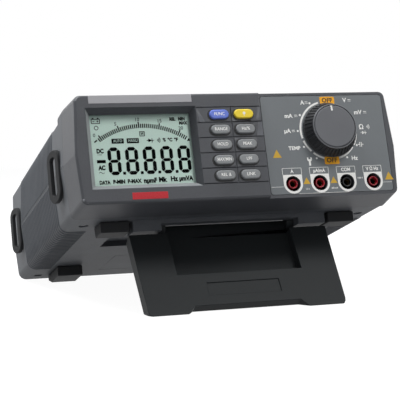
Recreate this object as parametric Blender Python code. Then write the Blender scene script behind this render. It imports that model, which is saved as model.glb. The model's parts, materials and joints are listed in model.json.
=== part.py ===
"""Bench multimeter with a lever-up front stand, modelled as the separate pieces it is assembled from.

Everything is laid out in the instrument's own frame: X to the right, Y from the front face to the rear, Z up,
with the origin on the front face at the level of the line where the two case shells part. One empty tilts and
lifts that frame, so that the instrument stands on its deployed stand and its rear feet, on the floor Z = 0.
"""

import math

import bmesh
import bpy
from mathutils import Vector

MM = 0.001
GAP = 0.3 * MM  # between pieces that touch
SLIP = 0.4 * MM  # round a piece that slides or turns
PAST = 2.0 * MM  # how far a cutter runs past the face it opens
LAP = 1.0 * MM  # how far a joined part runs into the wall it stands on
JOIN, CUT = "UNION", "DIFFERENCE"

# Case shells
CASE_HALF_WIDTH = 117.0 * MM
CASE_DEPTH = 252.0 * MM
CASE_TOP = 35.8 * MM
CASE_BOTTOM = -37.2 * MM
CASE_WALL = 2.8 * MM
CASE_EDGE_RADIUS = 6.0 * MM  # along the bottom
CASE_TOP_RADIUS = 3.4 * MM
SIDE_DRAFT = math.tan(math.radians(3.6))
COLLAR_HEIGHT = 4.7 * MM
COLLAR_DEPTH = 15.0 * MM
REAR_PANEL_INSET = 3.0 * MM
REAR_PANEL_THICK = 2.5 * MM

# Front bezel
BEZEL_DEPTH = 30.0 * MM
BEZEL_FLARE = 2.7 * MM  # how much narrower the front face is than the case, each side
BEZEL_TOP = 40.0 * MM
BEZEL_BOTTOM = -33.8 * MM
BEZEL_WALL = 2.8 * MM
BEZEL_CORNER = 4.0 * MM
BEZEL_EDGE = ((0.0, 1.4 * MM), (0.5 * MM, 0.5 * MM), (1.6 * MM, 0.0))  # depth and inset of the rounded front
BEZEL_BACKING = 7.8 * MM  # depth of the face where the display and the function panel seat
STEP_X = 17.0 * MM  # where the raised left part ends
STEP_DEPTH = 3.5 * MM
PANEL_THICK = 1.2 * MM
PANEL_MARGIN = 1.4 * MM
PANEL_EDGE = 1.8 * MM  # of bezel left above and below the panel
PANEL_CORNER = 2.0 * MM
PANEL_HALF_LOSS = 7.0 * MM  # from the case's half width to the panel's right edge

# Display
DISPLAY_X = -67.5 * MM
DISPLAY_Z = 3.4 * MM
LCD_WIDTH = 69.0 * MM
LCD_HEIGHT = 48.4 * MM
RECESS_SLOPE = 3.6 * MM  # how much the recess grows on each side towards the front
LENS_SEAT_DEPTH = 5.5 * MM
LENS_LAP = 2.0 * MM
LENS_THICK = 1.5 * MM
LCD_THICK = 4.7 * MM
BOARD_THICK = 1.6 * MM
FRONT_BOARD_LOW = (-110.0 * MM, -31.0 * MM)
FRONT_BOARD_HIGH = (110.0 * MM, 36.0 * MM)
FRONT_BOARD_NOTCH = (14.0 * MM, -12.0 * MM)  # its lower right part is cut away, clear of the terminal block
FRONT_POST_RADIUS = 2.5 * MM
FRONT_POST_Z = 33.0 * MM
FACE_POSTS = ((-108.0 * MM, 9.0 * MM), -28.5 * MM)  # places across the raised part, and the lower height
PANEL_POSTS = ((26.0 * MM, 106.0 * MM), -8.0 * MM)  # the same behind the function panel

# Keys
KEY_NAMES = (
    ("function", "range", "hold", "max_min", "relative"),
    ("backlight", "frequency", "peak", "filter", "link"),
)
KEY_X = -13.6 * MM
KEY_Z = 24.6 * MM
KEY_COLUMN_PITCH = 17.6 * MM
KEY_ROW_PITCH = 10.6 * MM
KEY_WIDTH = 13.8 * MM
KEY_HEIGHT = 6.5 * MM
KEY_STAND_OUT = 1.8 * MM
KEY_FLANGE = 0.9 * MM  # how far the flange behind the face reaches past the cap
KEY_FLANGE_THICK = 1.0 * MM
KEY_TRAVEL = 1.5 * MM
KEY_EDGE = 0.6 * MM  # bevel round the cap
MAT_THICK = 2.4 * MM
MAT_MARGIN = 4.0 * MM

# Rotary switch
KNOB_X = 67.4 * MM
KNOB_Z = 12.7 * MM
KNOB_RADIUS = 19.6 * MM
KNOB_TOP_RADIUS = 16.2 * MM
KNOB_HEIGHT = 10.0 * MM
KNOB_CAP_RADIUS = 15.0 * MM
KNOB_CAP_THICK = 1.4 * MM
KNOB_EDGE = 0.5 * MM
KNOB_CAP_PROUD = 0.3 * MM
SHAFT_RADIUS = 3.0 * MM
ROTOR_RADIUS = 14.0 * MM
ROTOR_THICK = 2.4 * MM

# Input terminals
JACK_NAMES = ("amp", "milliamp", "common", "volt")
JACK_X = 35.5 * MM
JACK_PITCH = 20.0 * MM
JACK_Z = -24.5 * MM
JACK_CUP_RADIUS = 5.3 * MM
JACK_CUP_DEPTH = 14.0 * MM
JACK_FLOOR = 2.0 * MM
SLEEVE_SUNK = 0.5 * MM  # behind the panel's face
CONTACT_SUNK = 2.0 * MM  # behind the sleeve's mouth
SLEEVE_RADIUS = 3.4 * MM
CONTACT_RADIUS = 2.45 * MM
CONTACT_BORE = 2.05 * MM
CONTACT_LENGTH = 27.0 * MM
BLOCK_MARGIN = 9.5 * MM
BLOCK_HALF_HEIGHT = 6.4 * MM

# Stand and feet
TILT = math.radians(16.5)
FEET_BOTTOM = -45.0 * MM
REAR_FOOT_KNEE = 228.0 * MM  # where the rear foot's sole turns to the tilted floor
FOOT_X = 83.0 * MM
FOOT_WIDTH = 20.0 * MM
FOOT_LENGTH = 42.0 * MM
FOOT_FLAT = 30.0 * MM
FRONT_FOOT_Y = 39.0 * MM
FRONT_FOOT_LENGTH = 18.0 * MM
HINGE_Y = 52.0 * MM
HINGE_Z = -40.2 * MM
STAND_LEAN = math.radians(22.6)  # of the deployed stand, from the instrument's -Z towards the front
STAND_HALF_WIDTH = 72.5 * MM
STAND_TAPER = 2.0 * MM
STAND_OUTER = 4.2 * MM  # from the hinge axis to the outer face
STAND_INNER = 6.5 * MM  # from the hinge axis to the inner face
STAND_SHOULDER = 8.2 * MM  # from the hinge axis down to the shoulders beside the tongue
STAND_TONGUE = 50.0 * MM  # half width of the hinged tongue
STAND_PANEL = 45.0 * MM  # half width of the panel sunk into the tongue and the stand below it
STAND_PANEL_END = 42.5 * MM
STAND_PANEL_SINK = 7.4 * MM
STAND_MIDDLE_RISE = 6.0 * MM
STAND_TOE_WIDTH = 26.5 * MM
STAND_CORNER = 6.0 * MM
STAND_ROOM = 1.5 * MM  # round the folded stand in its recess
GRIP_HALF_WIDTH = 26.0 * MM
GRIP_ENDS = (50.0 * MM, 60.0 * MM)  # along the stand from the hinge
GRIP_DEPTH = 0.8 * MM
BOSS_WIDTH = 20.0 * MM
BOSS_DEPTH = 18.0 * MM
PIN_RADIUS = 2.2 * MM
PIN_LENGTH = 20.0 * MM
PIN_IN_STAND = 4.5 * MM
LEDGE_DROP = 3.1 * MM

# Side guards: hoops that lean out from the wall towards the rear
GUARD_WIDTH = 18.0 * MM
GUARD_HEIGHT = 37.0 * MM
GUARD_BAND = 5.0 * MM
GUARD_THICK = 2.5 * MM
GUARD_LIP = 1.2 * MM  # how far a hoop's front edge stands out
GUARD_STAND_OUT = 5.5 * MM
GUARD_CORNER = 8.0 * MM
GUARD_EDGE = 0.5 * MM
GUARD_ROOT = 5.0 * MM  # how far the front band is drawn into the wall before it is cut to it
GUARD_Z = -2.5 * MM
GUARD_FRONT_Y = 48.5 * MM
GUARD_REAR_Y = 220.0 * MM

# Inside
SCREW_X = 102.0 * MM
SCREW_FRONT_Y = 51.0 * MM
SCREW_REAR_MARGIN = 16.0 * MM
SCREW_HEAD_RADIUS = 3.2 * MM
SCREW_HEAD_THICK = 2.2 * MM
SCREW_RADIUS = 1.5 * MM
SCREW_REACH = 12.0 * MM  # into the upper shell's post
SCREW_SUNK = 1.0 * MM  # of the head below the case
POST_RADIUS = 5.0 * MM
MAIN_BOARD_Z = -14.0 * MM
MAIN_BOARD_HALF_WIDTH = 94.0 * MM
MAIN_BOARD_FRONT = 62.0 * MM
MAIN_BOARD_REAR = 160.0 * MM
BOARD_POST_RADIUS = 3.5 * MM
BOARD_POST_INSET = 6.0 * MM
CELL_RADIUS = 13.1 * MM
CELL_LENGTH = 50.0 * MM
BAY_CENTRE_Y = 196.0 * MM
BAY_MARGIN = 3.5 * MM
TRAY_WALL = 1.6 * MM
DOOR_THICK = 2.2 * MM
DOOR_LAP = 4.0 * MM
SOCKET_X = 58.0 * MM
SOCKET_SIZE = 11.0 * MM
PORT_X = -20.0 * MM
PORT_WIDTH = 31.0 * MM
PORT_HEIGHT = 12.5 * MM
CONNECTOR_PROUD = 0.8 * MM  # of the rear panel
SOCKET_DEPTH = 14.0 * MM
SOCKET_BORE = 3.2 * MM
SOCKET_BORE_DEPTH = 9.5 * MM
SOCKET_PIN = 1.1 * MM
PORT_DEPTH = 12.0 * MM
PORT_MOUTH = (8.3 * MM, 9.6 * MM, 4.0 * MM)  # half widths below and above, half height
PORT_MOUTH_CORNER = 1.5 * MM
PORT_MOUTH_DEPTH = 5.5 * MM
CAN_LOW, CAN_SIZE = (12.0 * MM, 8.0 * MM), (68.0 * MM, 68.0 * MM, 15.7 * MM)
CAN_SHEET = 0.8 * MM
FUSE_BLOCK_LOW, FUSE_BLOCK_SIZE = (-76.0 * MM, 10.0 * MM), (40.0 * MM, 36.0 * MM, 6.7 * MM)
FUSES = (
    # name, place across, radius, length
    ("low_range", -66.0 * MM, 3.2 * MM, 32.0 * MM),
    ("high_range", -49.0 * MM, 5.2 * MM, 38.0 * MM),
)

# Places that follow from the sizes above
LCD_FRONT = LENS_SEAT_DEPTH + GAP + LENS_THICK + GAP
FRONT_BOARD_Y = LCD_FRONT + LCD_THICK + GAP
BLOCK_FRONT = BEZEL_BACKING + GAP
SHELL_FRONT = BEZEL_DEPTH + GAP
REAR_PANEL_Y = CASE_DEPTH - REAR_PANEL_INSET - REAR_PANEL_THICK
FLOOR_INSIDE = CASE_BOTTOM + CASE_WALL
STAND_RECESS_TOP = HINGE_Z + STAND_INNER + 0.6 * MM
BOSS_OUTER_X = STAND_TONGUE + SLIP + BOSS_WIDTH
SCREW_SEAT = CASE_BOTTOM + SCREW_SUNK
SCREW_PLACES = {
    "front_left": (-SCREW_X, SCREW_FRONT_Y),
    "front_right": (SCREW_X, SCREW_FRONT_Y),
    "rear_left": (-SCREW_X, CASE_DEPTH - SCREW_REAR_MARGIN),
    "rear_right": (SCREW_X, CASE_DEPTH - SCREW_REAR_MARGIN),
}

MATERIALS = {
    # name: colour, roughness, metallic
    "bezel_plastic": ((0.085, 0.09, 0.1), 0.55, 0.0),
    "panel_film": ((0.13, 0.14, 0.15), 0.5, 0.0),
    "case_plastic": ((0.12, 0.125, 0.135), 0.55, 0.0),
    "clear_lens": ((0.75, 0.8, 0.76), 0.05, 0.0),
    "lcd_glass": ((0.5, 0.66, 0.58), 0.15, 0.0),
    "board": ((0.03, 0.2, 0.1), 0.5, 0.0),
    "grey_key": ((0.2, 0.21, 0.22), 0.5, 0.0),
    "blue_key": ((0.13, 0.19, 0.6), 0.45, 0.0),
    "yellow_key": ((0.9, 0.6, 0.04), 0.45, 0.0),
    "silicone": ((0.3, 0.3, 0.3), 0.7, 0.0),
    "black_plastic": ((0.012, 0.012, 0.013), 0.45, 0.0),
    "cap_plastic": ((0.16, 0.17, 0.18), 0.45, 0.0),
    "red_plastic": ((0.3, 0.01, 0.02), 0.4, 0.0),
    "black_rubber": ((0.015, 0.015, 0.016), 0.8, 0.0),
    "brass": ((0.7, 0.52, 0.22), 0.3, 1.0),
    "steel": ((0.55, 0.55, 0.56), 0.35, 1.0),
    "cell_wrap": ((0.05, 0.05, 0.06), 0.4, 0.0),
    "fuse_body": ((0.8, 0.78, 0.72), 0.4, 0.0),
}


def clear_scene():
    for old in list(bpy.data.objects):
        bpy.data.objects.remove(old, do_unlink=True)


def make_materials():
    made = {}
    for name, (colour, roughness, metallic) in MATERIALS.items():
        material = bpy.data.materials.new(name)
        material.use_nodes = True
        shader = material.node_tree.nodes["Principled BSDF"]
        shader.inputs["Base Color"].default_value = (*colour, 1.0)
        shader.inputs["Roughness"].default_value = roughness
        shader.inputs["Metallic"].default_value = metallic
        made[name] = material
    return made


def rounded(corners, steps=4):
    """Closed outline through corners (x, y, radius), each with a radius turned into an arc."""
    outline = []
    for index, (x, y, radius) in enumerate(corners):
        corner = Vector((x, y))
        if radius == 0:
            outline.append(tuple(corner))
            continue
        before = (Vector(corners[index - 1][:2]) - corner).normalized()
        after = (Vector(corners[(index + 1) % len(corners)][:2]) - corner).normalized()
        half = before.angle(after) / 2
        centre = corner + (before + after).normalized() * radius / math.sin(half)
        start = corner + before * radius / math.tan(half) - centre
        end = corner + after * radius / math.tan(half) - centre
        turn = start.angle(end)
        for step in range(steps + 1):
            share = step / steps
            arm = start * math.sin((1 - share) * turn) + end * math.sin(share * turn)
            outline.append(tuple(centre + arm / math.sin(turn)))
    return outline


def rectangle(centre, width, height, radius=0.0, steps=4):
    x, y = centre
    half_width, half_height = width / 2, height / 2
    corners = [
        (x - half_width, y - half_height, radius),
        (x + half_width, y - half_height, radius),
        (x + half_width, y + half_height, radius),
        (x - half_width, y + half_height, radius),
    ]
    return rounded(corners, steps)


def circle(centre, radius, steps=24):
    turns = [2 * math.pi * step / steps for step in range(steps)]
    return [(centre[0] + radius * math.cos(t), centre[1] + radius * math.sin(t)) for t in turns]


def along(axis, outline, place):
    """The outline's points at one place along an axis: X takes (y, z), Y takes (x, z), Z takes (x, y)."""
    if axis == "X":
        return [(place, a, b) for a, b in outline]
    if axis == "Y":
        return [(a, place, b) for a, b in outline]
    return [(a, b, place) for a, b in outline]


def loft(rings, closed=False):
    """Solid through rings of equal length. A closed one runs back into its first ring and has no ends."""
    count = len(rings[0])
    points = [point for ring in rings for point in ring]
    faces = []
    for index in range(len(rings) if closed else len(rings) - 1):
        here = index * count
        there = (index + 1) % len(rings) * count
        for side in range(count):
            after = (side + 1) % count
            faces.append((here + side, here + after, there + after, there + side))
    if not closed:
        faces.append(tuple(range(count)))
        faces.append(tuple(range(len(points) - count, len(points))))
    return points, faces


def prism(outline, start, end, axis="Y"):
    return loft([along(axis, outline, start), along(axis, outline, end)])


def box(low, high):
    centre = ((low[0] + high[0]) / 2, (low[2] + high[2]) / 2)
    return prism(rectangle(centre, high[0] - low[0], high[2] - low[2]), low[1], high[1])


def turned(profile, centre, steps=32, closed=False):
    """Solid of revolution about the line along Y through centre (x, z), from (radius, y) points."""
    return loft([along("Y", circle(centre, radius, steps), y) for radius, y in profile], closed)


def together(*solids):
    """Several solids that don't touch, as one tool."""
    points, faces = [], []
    for more_points, more_faces in solids:
        faces += [tuple(len(points) + index for index in face) for face in more_faces]
        points += more_points
    return points, faces


def add_object(name, solid, parent):
    mesh = bpy.data.meshes.new(name)
    mesh.from_pydata(*[solid[0], [], solid[1]])
    work = bmesh.new()
    work.from_mesh(mesh)
    bmesh.ops.recalc_face_normals(work, faces=work.faces)
    work.to_mesh(mesh)
    work.free()
    mesh.shade_smooth()
    mesh.set_sharp_from_angle(angle=math.radians(35))
    thing = bpy.data.objects.new(name, mesh)
    bpy.context.scene.collection.objects.link(thing)
    thing.parent = parent
    return thing


def piece(name, solid, material, parent, steps=()):
    """A named piece. Each step is (JOIN or CUT, tool), taken in order."""
    thing = add_object(name, solid, parent)
    thing.data.materials.append(material)
    for index, (kind, tool) in enumerate(steps):
        helper = add_object(f"{name}_step_{index}", tool, parent)
        helper.hide_render = True
        helper.display_type = "WIRE"
        modifier = thing.modifiers.new(helper.name, "BOOLEAN")
        modifier.operation = kind
        modifier.solver = "EXACT"
        modifier.object = helper


def half_width(z, inset=0.0):
    """Half the case's width at a height: widest at the parting line, drawn in above and below it."""
    return CASE_HALF_WIDTH - abs(z) * SIDE_DRAFT - inset


def shell_outline(edge, radius, inset=0.0, parting=0.0):
    """Cross-section of one shell, from the parting line to its flat top or bottom at the height edge."""
    return rounded([
        (half_width(parting, inset), parting, 0.0),
        (half_width(edge, inset), edge, radius),
        (-half_width(edge, inset), edge, radius),
        (-half_width(parting, inset), parting, 0.0),
    ])


def bezel_ring(y, inset=0.0):
    """The bezel's outline at a depth: it flares from the front face to the case behind it."""
    share = max(0.0, 1 - y / BEZEL_DEPTH)
    top = BEZEL_TOP + (CASE_TOP + COLLAR_HEIGHT - BEZEL_TOP) * (1 - share) - inset
    bottom = BEZEL_BOTTOM + (CASE_BOTTOM - BEZEL_BOTTOM) * (1 - share) + inset
    loss = BEZEL_FLARE * share + inset
    radius = max(BEZEL_CORNER - inset, 1.0 * MM)
    outline = rounded([
        (-half_width(bottom, loss), bottom, radius),
        (half_width(bottom, loss), bottom, radius),
        (half_width(0, loss), 0.0, 0.0),
        (half_width(top, loss), top, radius),
        (-half_width(top, loss), top, radius),
        (-half_width(0, loss), 0.0, 0.0),
    ])
    return along("Y", outline, y)


def key_centre(column, row):
    return KEY_X + column * KEY_COLUMN_PITCH, KEY_Z - row * KEY_ROW_PITCH


def pill(centre, width, height):
    return rectangle(centre, width, height, height / 2 * 0.98, 3)


def jack_centre(index):
    return JACK_X + index * JACK_PITCH, JACK_Z


def panel_outline(inset):
    right = CASE_HALF_WIDTH - PANEL_HALF_LOSS
    low = (STEP_X + PANEL_MARGIN + inset, BEZEL_BOTTOM + PANEL_EDGE + inset)
    high = (right - inset, BEZEL_TOP - PANEL_EDGE - inset)
    centre = ((low[0] + high[0]) / 2, (low[1] + high[1]) / 2)
    return rectangle(centre, high[0] - low[0], high[1] - low[1], PANEL_CORNER)


def front_posts():
    """Posts behind the face that carry the front board: four behind the left part, four behind the panel."""
    posts = []
    for (across, low), start in ((FACE_POSTS, BEZEL_WALL - LAP), (PANEL_POSTS, BEZEL_BACKING - LAP)):
        for x in across:
            for z in (FRONT_POST_Z, low):
                outline = circle((x, z), FRONT_POST_RADIUS, 12)
                posts.append(prism(outline, start, FRONT_BOARD_Y - GAP))
    return posts


def make_bezel(parent, looks):
    body = loft([bezel_ring(y, inset) for y, inset in (*BEZEL_EDGE, (BEZEL_DEPTH, 0.0))])
    hollow = loft([
        bezel_ring(BEZEL_BACKING, BEZEL_WALL),
        bezel_ring(BEZEL_DEPTH + PAST, BEZEL_WALL),
    ])
    key_well = box(
        (KEY_X - KEY_COLUMN_PITCH * 0.7, BEZEL_WALL, BEZEL_BOTTOM + 2 * BEZEL_WALL),
        (STEP_X - BEZEL_WALL, BEZEL_BACKING + PAST, BEZEL_TOP - BEZEL_WALL),
    )
    step = box(
        (STEP_X, -PAST, 2 * BEZEL_BOTTOM),
        (CASE_HALF_WIDTH + PAST, STEP_DEPTH, 2 * BEZEL_TOP),
    )
    panel_seat = prism(panel_outline(0.0), 0.0, STEP_DEPTH + PANEL_THICK + GAP)
    centre = (DISPLAY_X, DISPLAY_Z)
    grow = RECESS_SLOPE * (1 + PAST / LENS_SEAT_DEPTH)
    window = loft([
        along("Y", rectangle(centre, LCD_WIDTH + 2 * grow, LCD_HEIGHT + 2 * grow), -PAST),
        along("Y", rectangle(centre, LCD_WIDTH, LCD_HEIGHT), LENS_SEAT_DEPTH),
        along("Y", rectangle(centre, LCD_WIDTH, LCD_HEIGHT), LENS_SEAT_DEPTH + LENS_THICK),
    ])
    lens_seat = prism(
        rectangle(centre, LCD_WIDTH + 2 * LENS_LAP, LCD_HEIGHT + 2 * LENS_LAP),
        LENS_SEAT_DEPTH, BEZEL_BACKING + PAST,
    )
    keys = together(*[
        prism(pill(key_centre(column, row), KEY_WIDTH + 2 * SLIP, KEY_HEIGHT + 2 * SLIP), -PAST, BEZEL_WALL + PAST)
        for column in range(2) for row in range(5)
    ])
    holes = together(
        prism(circle((KNOB_X, KNOB_Z), SHAFT_RADIUS + 2 * SLIP), 0.0, BEZEL_BACKING + PAST),
        *[
            prism(circle(jack_centre(index), JACK_CUP_RADIUS), 0.0, BEZEL_BACKING + PAST)
            for index in range(len(JACK_NAMES))
        ],
    )
    cutters = (hollow, key_well, step, panel_seat, window, lens_seat, keys, holes)
    steps = [(CUT, cutter) for cutter in cutters]
    steps.append((JOIN, together(*front_posts())))
    piece("front_bezel", body, looks["bezel_plastic"], parent, steps)


def make_function_panel(parent, looks):
    holes = together(
        prism(circle((KNOB_X, KNOB_Z), SHAFT_RADIUS + 3 * SLIP), 0.0, BEZEL_DEPTH),
        *[
            prism(circle(jack_centre(index), JACK_CUP_RADIUS), 0.0, BEZEL_DEPTH)
            for index in range(len(JACK_NAMES))
        ],
    )
    plate = prism(panel_outline(GAP), STEP_DEPTH, STEP_DEPTH + PANEL_THICK)
    piece("function_panel", plate, looks["panel_film"], parent, [(CUT, holes)])


def make_display(parent, looks):
    centre = (DISPLAY_X, DISPLAY_Z)
    width = LCD_WIDTH + 2 * (LENS_LAP - GAP)
    height = LCD_HEIGHT + 2 * (LENS_LAP - GAP)
    outline = rectangle(centre, width, height)
    stack = (
        ("display_window", LENS_SEAT_DEPTH + GAP, LENS_THICK, "clear_lens"),
        ("lcd_panel", LCD_FRONT, LCD_THICK, "lcd_glass"),
    )
    for name, front, thick, look in stack:
        piece(name, prism(outline, front, front + thick), looks[look], parent)
    (left, bottom), (right, top), notch = FRONT_BOARD_LOW, FRONT_BOARD_HIGH, FRONT_BOARD_NOTCH
    outline = [
        (left, bottom), (notch[0], bottom), notch, (right, notch[1]), (right, top), (left, top)
    ]
    board = prism(outline, FRONT_BOARD_Y, FRONT_BOARD_Y + BOARD_THICK)
    piece("front_board", board, looks["board"], parent)


def make_keys(parent, looks):
    for column, names in enumerate(KEY_NAMES):
        for row, name in enumerate(names):
            x, z = key_centre(column, row)
            origin = bpy.data.objects.new(f"key_{name}_axis", None)
            bpy.context.scene.collection.objects.link(origin)
            origin.parent = parent
            origin.location = (x, 0.0, z)
            flange_front = BEZEL_WALL + GAP
            flange_back = flange_front + KEY_FLANGE_THICK
            stem_back = FRONT_BOARD_Y - GAP - MAT_THICK - KEY_TRAVEL - GAP
            cap = pill((0, 0), KEY_WIDTH, KEY_HEIGHT)
            edge = pill((0, 0), KEY_WIDTH - 2 * KEY_EDGE, KEY_HEIGHT - 2 * KEY_EDGE)
            flange = pill((0, 0), KEY_WIDTH + 2 * KEY_FLANGE, KEY_HEIGHT + 2 * KEY_FLANGE)
            stem = pill((0, 0), KEY_WIDTH / 2, KEY_HEIGHT / 2)
            solid = loft([
                along("Y", edge, -KEY_STAND_OUT),
                along("Y", cap, -KEY_STAND_OUT + KEY_EDGE),
                along("Y", cap, flange_front),
                along("Y", flange, flange_front),
                along("Y", flange, flange_back),
                along("Y", stem, flange_back),
                along("Y", stem, stem_back),
            ])
            look = {"function": "blue_key", "backlight": "yellow_key"}.get(name, "grey_key")
            piece(f"key_{name}", solid, looks[look], origin)
    mat_back = FRONT_BOARD_Y - GAP
    left, top = KEY_X - KEY_WIDTH / 2 - MAT_MARGIN, KEY_Z + KEY_HEIGHT / 2 + MAT_MARGIN / 2
    right = KEY_X + KEY_COLUMN_PITCH + KEY_WIDTH / 2 - LAP
    bottom = KEY_Z - 4 * KEY_ROW_PITCH - KEY_HEIGHT / 2
    mat = box((left, mat_back - MAT_THICK, bottom), (right, mat_back, top))
    piece("keypad_mat", mat, looks["silicone"], parent)


def make_knob(parent, looks):
    axis = bpy.data.objects.new("knob_axis", None)
    bpy.context.scene.collection.objects.link(axis)
    axis.parent = parent
    axis.location = (KNOB_X, 0.0, KNOB_Z)
    base = STEP_DEPTH - GAP
    front = STEP_DEPTH - KNOB_HEIGHT
    cap_seat = front + KNOB_CAP_THICK + GAP
    bore = SHAFT_RADIUS + GAP
    knob = turned([
        (KNOB_TOP_RADIUS - KNOB_EDGE, front),
        (KNOB_TOP_RADIUS, front + KNOB_EDGE),
        (KNOB_RADIUS, base),
        (bore, base),
        (bore, cap_seat),
        (KNOB_CAP_RADIUS + GAP, cap_seat),
        (KNOB_CAP_RADIUS + GAP, front),
    ], (0, 0), 32, closed=True)
    piece("rotary_knob", knob, looks["black_plastic"], axis)
    cap = turned([
        (KNOB_CAP_RADIUS - KNOB_EDGE, front - KNOB_CAP_PROUD),
        (KNOB_CAP_RADIUS, front - KNOB_CAP_PROUD + KNOB_EDGE),
        (KNOB_CAP_RADIUS, cap_seat - GAP),
    ], (0, 0), 32)
    piece("knob_cap", cap, looks["cap_plastic"], axis)
    rotor_back = FRONT_BOARD_Y - GAP
    shaft = turned([(SHAFT_RADIUS, cap_seat), (SHAFT_RADIUS, rotor_back)], (0, 0), 16)
    piece("switch_shaft", shaft, looks["steel"], axis)
    rotor_bore = SHAFT_RADIUS + GAP
    rotor = turned([
        (ROTOR_RADIUS, rotor_back - ROTOR_THICK),
        (ROTOR_RADIUS, rotor_back),
        (rotor_bore, rotor_back),
        (rotor_bore, rotor_back - ROTOR_THICK),
    ], (0, 0), 32, closed=True)
    piece("switch_rotor", rotor, looks["silicone"], axis)


def make_terminals(parent, looks):
    last = jack_centre(len(JACK_NAMES) - 1)[0]
    cup_floor = BLOCK_FRONT + JACK_CUP_DEPTH
    block_back = cup_floor + JACK_FLOOR
    block = box(
        (JACK_X - BLOCK_MARGIN, BLOCK_FRONT, JACK_Z - BLOCK_HALF_HEIGHT),
        (last + BLOCK_MARGIN, block_back, JACK_Z + BLOCK_HALF_HEIGHT),
    )
    cups, seats = [], []
    for index in range(len(JACK_NAMES)):
        centre = jack_centre(index)
        cups.append(prism(circle(centre, JACK_CUP_RADIUS), 0.0, cup_floor))
        seats.append(prism(circle(centre, SLEEVE_RADIUS + GAP), cup_floor - PAST, block_back + PAST))
    steps = [(CUT, together(*cups)), (CUT, together(*seats))]
    piece("terminal_block", block, looks["black_plastic"], parent, steps)
    sleeve_front = STEP_DEPTH + SLEEVE_SUNK
    contact_front = sleeve_front + CONTACT_SUNK
    for index, name in enumerate(JACK_NAMES):
        look = "black_plastic" if name == "common" else "red_plastic"
        bore = CONTACT_RADIUS + GAP
        sleeve = turned([
            (SLEEVE_RADIUS, sleeve_front),
            (SLEEVE_RADIUS, block_back),
            (bore, block_back),
            (bore, sleeve_front),
        ], jack_centre(index), 24, closed=True)
        piece(f"jack_sleeve_{name}", sleeve, looks[look], parent)
        contact_back = contact_front + CONTACT_LENGTH
        contact = turned([
            (CONTACT_RADIUS, contact_front),
            (CONTACT_RADIUS, contact_back),
            (CONTACT_BORE, contact_back),
            (CONTACT_BORE, contact_front),
        ], jack_centre(index), 16, closed=True)
        piece(f"jack_contact_{name}", contact, looks["brass"], parent)


def make_lower_case(parent, looks):
    outer = prism(shell_outline(CASE_BOTTOM, CASE_EDGE_RADIUS), SHELL_FRONT, CASE_DEPTH)
    hollow = prism(
        shell_outline(CASE_BOTTOM + CASE_WALL, CASE_EDGE_RADIUS - CASE_WALL, CASE_WALL, PAST),
        SHELL_FRONT - PAST, CASE_DEPTH + PAST,
    )
    recess_half = STAND_HALF_WIDTH + STAND_ROOM
    recess_front = HINGE_Y - STAND_OUTER - LAP
    recess_rear = HINGE_Y + stand_length() + STAND_ROOM + 0.5 * MM
    roof = box(
        (-recess_half - CASE_WALL, recess_front - CASE_WALL, CASE_BOTTOM + 0.5 * MM),
        (recess_half + CASE_WALL, recess_rear + CASE_WALL, STAND_RECESS_TOP + CASE_WALL),
    )
    recess = box(
        (-recess_half, recess_front, 2 * CASE_BOTTOM),
        (recess_half, recess_rear, STAND_RECESS_TOP),
    )
    steps = [(CUT, hollow), (JOIN, roof), (CUT, recess)]
    bosses, pin_holes = [], []
    for side in (-1, 1):
        near, far = side * (STAND_TONGUE + SLIP), side * BOSS_OUTER_X
        boss_rear = FRONT_FOOT_Y + BOSS_DEPTH
        bosses.append(box(
            (min(near, far), FRONT_FOOT_Y, FEET_BOTTOM),
            (max(near, far), boss_rear, STAND_RECESS_TOP + LAP),
        ))
        hole = circle((HINGE_Y, HINGE_Z), PIN_RADIUS + GAP, 16)
        hole_end = side * (STAND_TONGUE - PIN_IN_STAND + PIN_LENGTH + GAP)
        pin_holes.append(prism(hole, min(0, hole_end), max(0, hole_end), "X"))
    ledge = box(
        (-STAND_TONGUE - LAP, FRONT_FOOT_Y, CASE_BOTTOM - LEDGE_DROP),
        (STAND_TONGUE + LAP, recess_front, CASE_BOTTOM + LAP),
    )
    steps += [(JOIN, together(*bosses)), (JOIN, ledge)]
    steps += [(CUT, hole) for hole in pin_holes]
    board_posts = [
        prism(circle((x, y), BOARD_POST_RADIUS, 12), FLOOR_INSIDE - LAP, MAIN_BOARD_Z - GAP, "Z")
        for x in (BOARD_POST_INSET - MAIN_BOARD_HALF_WIDTH, MAIN_BOARD_HALF_WIDTH - BOARD_POST_INSET)
        for y in (MAIN_BOARD_FRONT + BOARD_POST_INSET, MAIN_BOARD_REAR - BOARD_POST_INSET)
    ]
    screw_posts = [
        prism(circle(place, POST_RADIUS, 16), FLOOR_INSIDE - LAP, -GAP, "Z")
        for place in SCREW_PLACES.values()
    ]
    steps.append((JOIN, together(*board_posts, *screw_posts)))
    head_seat = SCREW_SEAT + SCREW_HEAD_THICK + GAP
    shanks = [
        prism(circle(place, SCREW_RADIUS + GAP, 12), head_seat - LAP, PAST, "Z")
        for place in SCREW_PLACES.values()
    ]
    heads = [
        prism(circle(place, SCREW_HEAD_RADIUS + GAP, 16), 2 * CASE_BOTTOM, head_seat, "Z")
        for place in SCREW_PLACES.values()
    ]
    half_x, half_y = door_half_size()
    door = box(
        (-half_x, BAY_CENTRE_Y - half_y, 2 * CASE_BOTTOM),
        (half_x, BAY_CENTRE_Y + half_y, CASE_BOTTOM + DOOR_THICK + GAP),
    )
    bay = box(
        (-half_x + DOOR_LAP, BAY_CENTRE_Y - half_y + DOOR_LAP, CASE_BOTTOM),
        (half_x - DOOR_LAP, BAY_CENTRE_Y + half_y - DOOR_LAP, CASE_BOTTOM + 2 * CASE_WALL),
    )
    steps += [(CUT, cutter) for cutter in (together(*shanks), together(*heads), door, bay)]
    piece("lower_case", outer, looks["case_plastic"], parent, steps)


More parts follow.
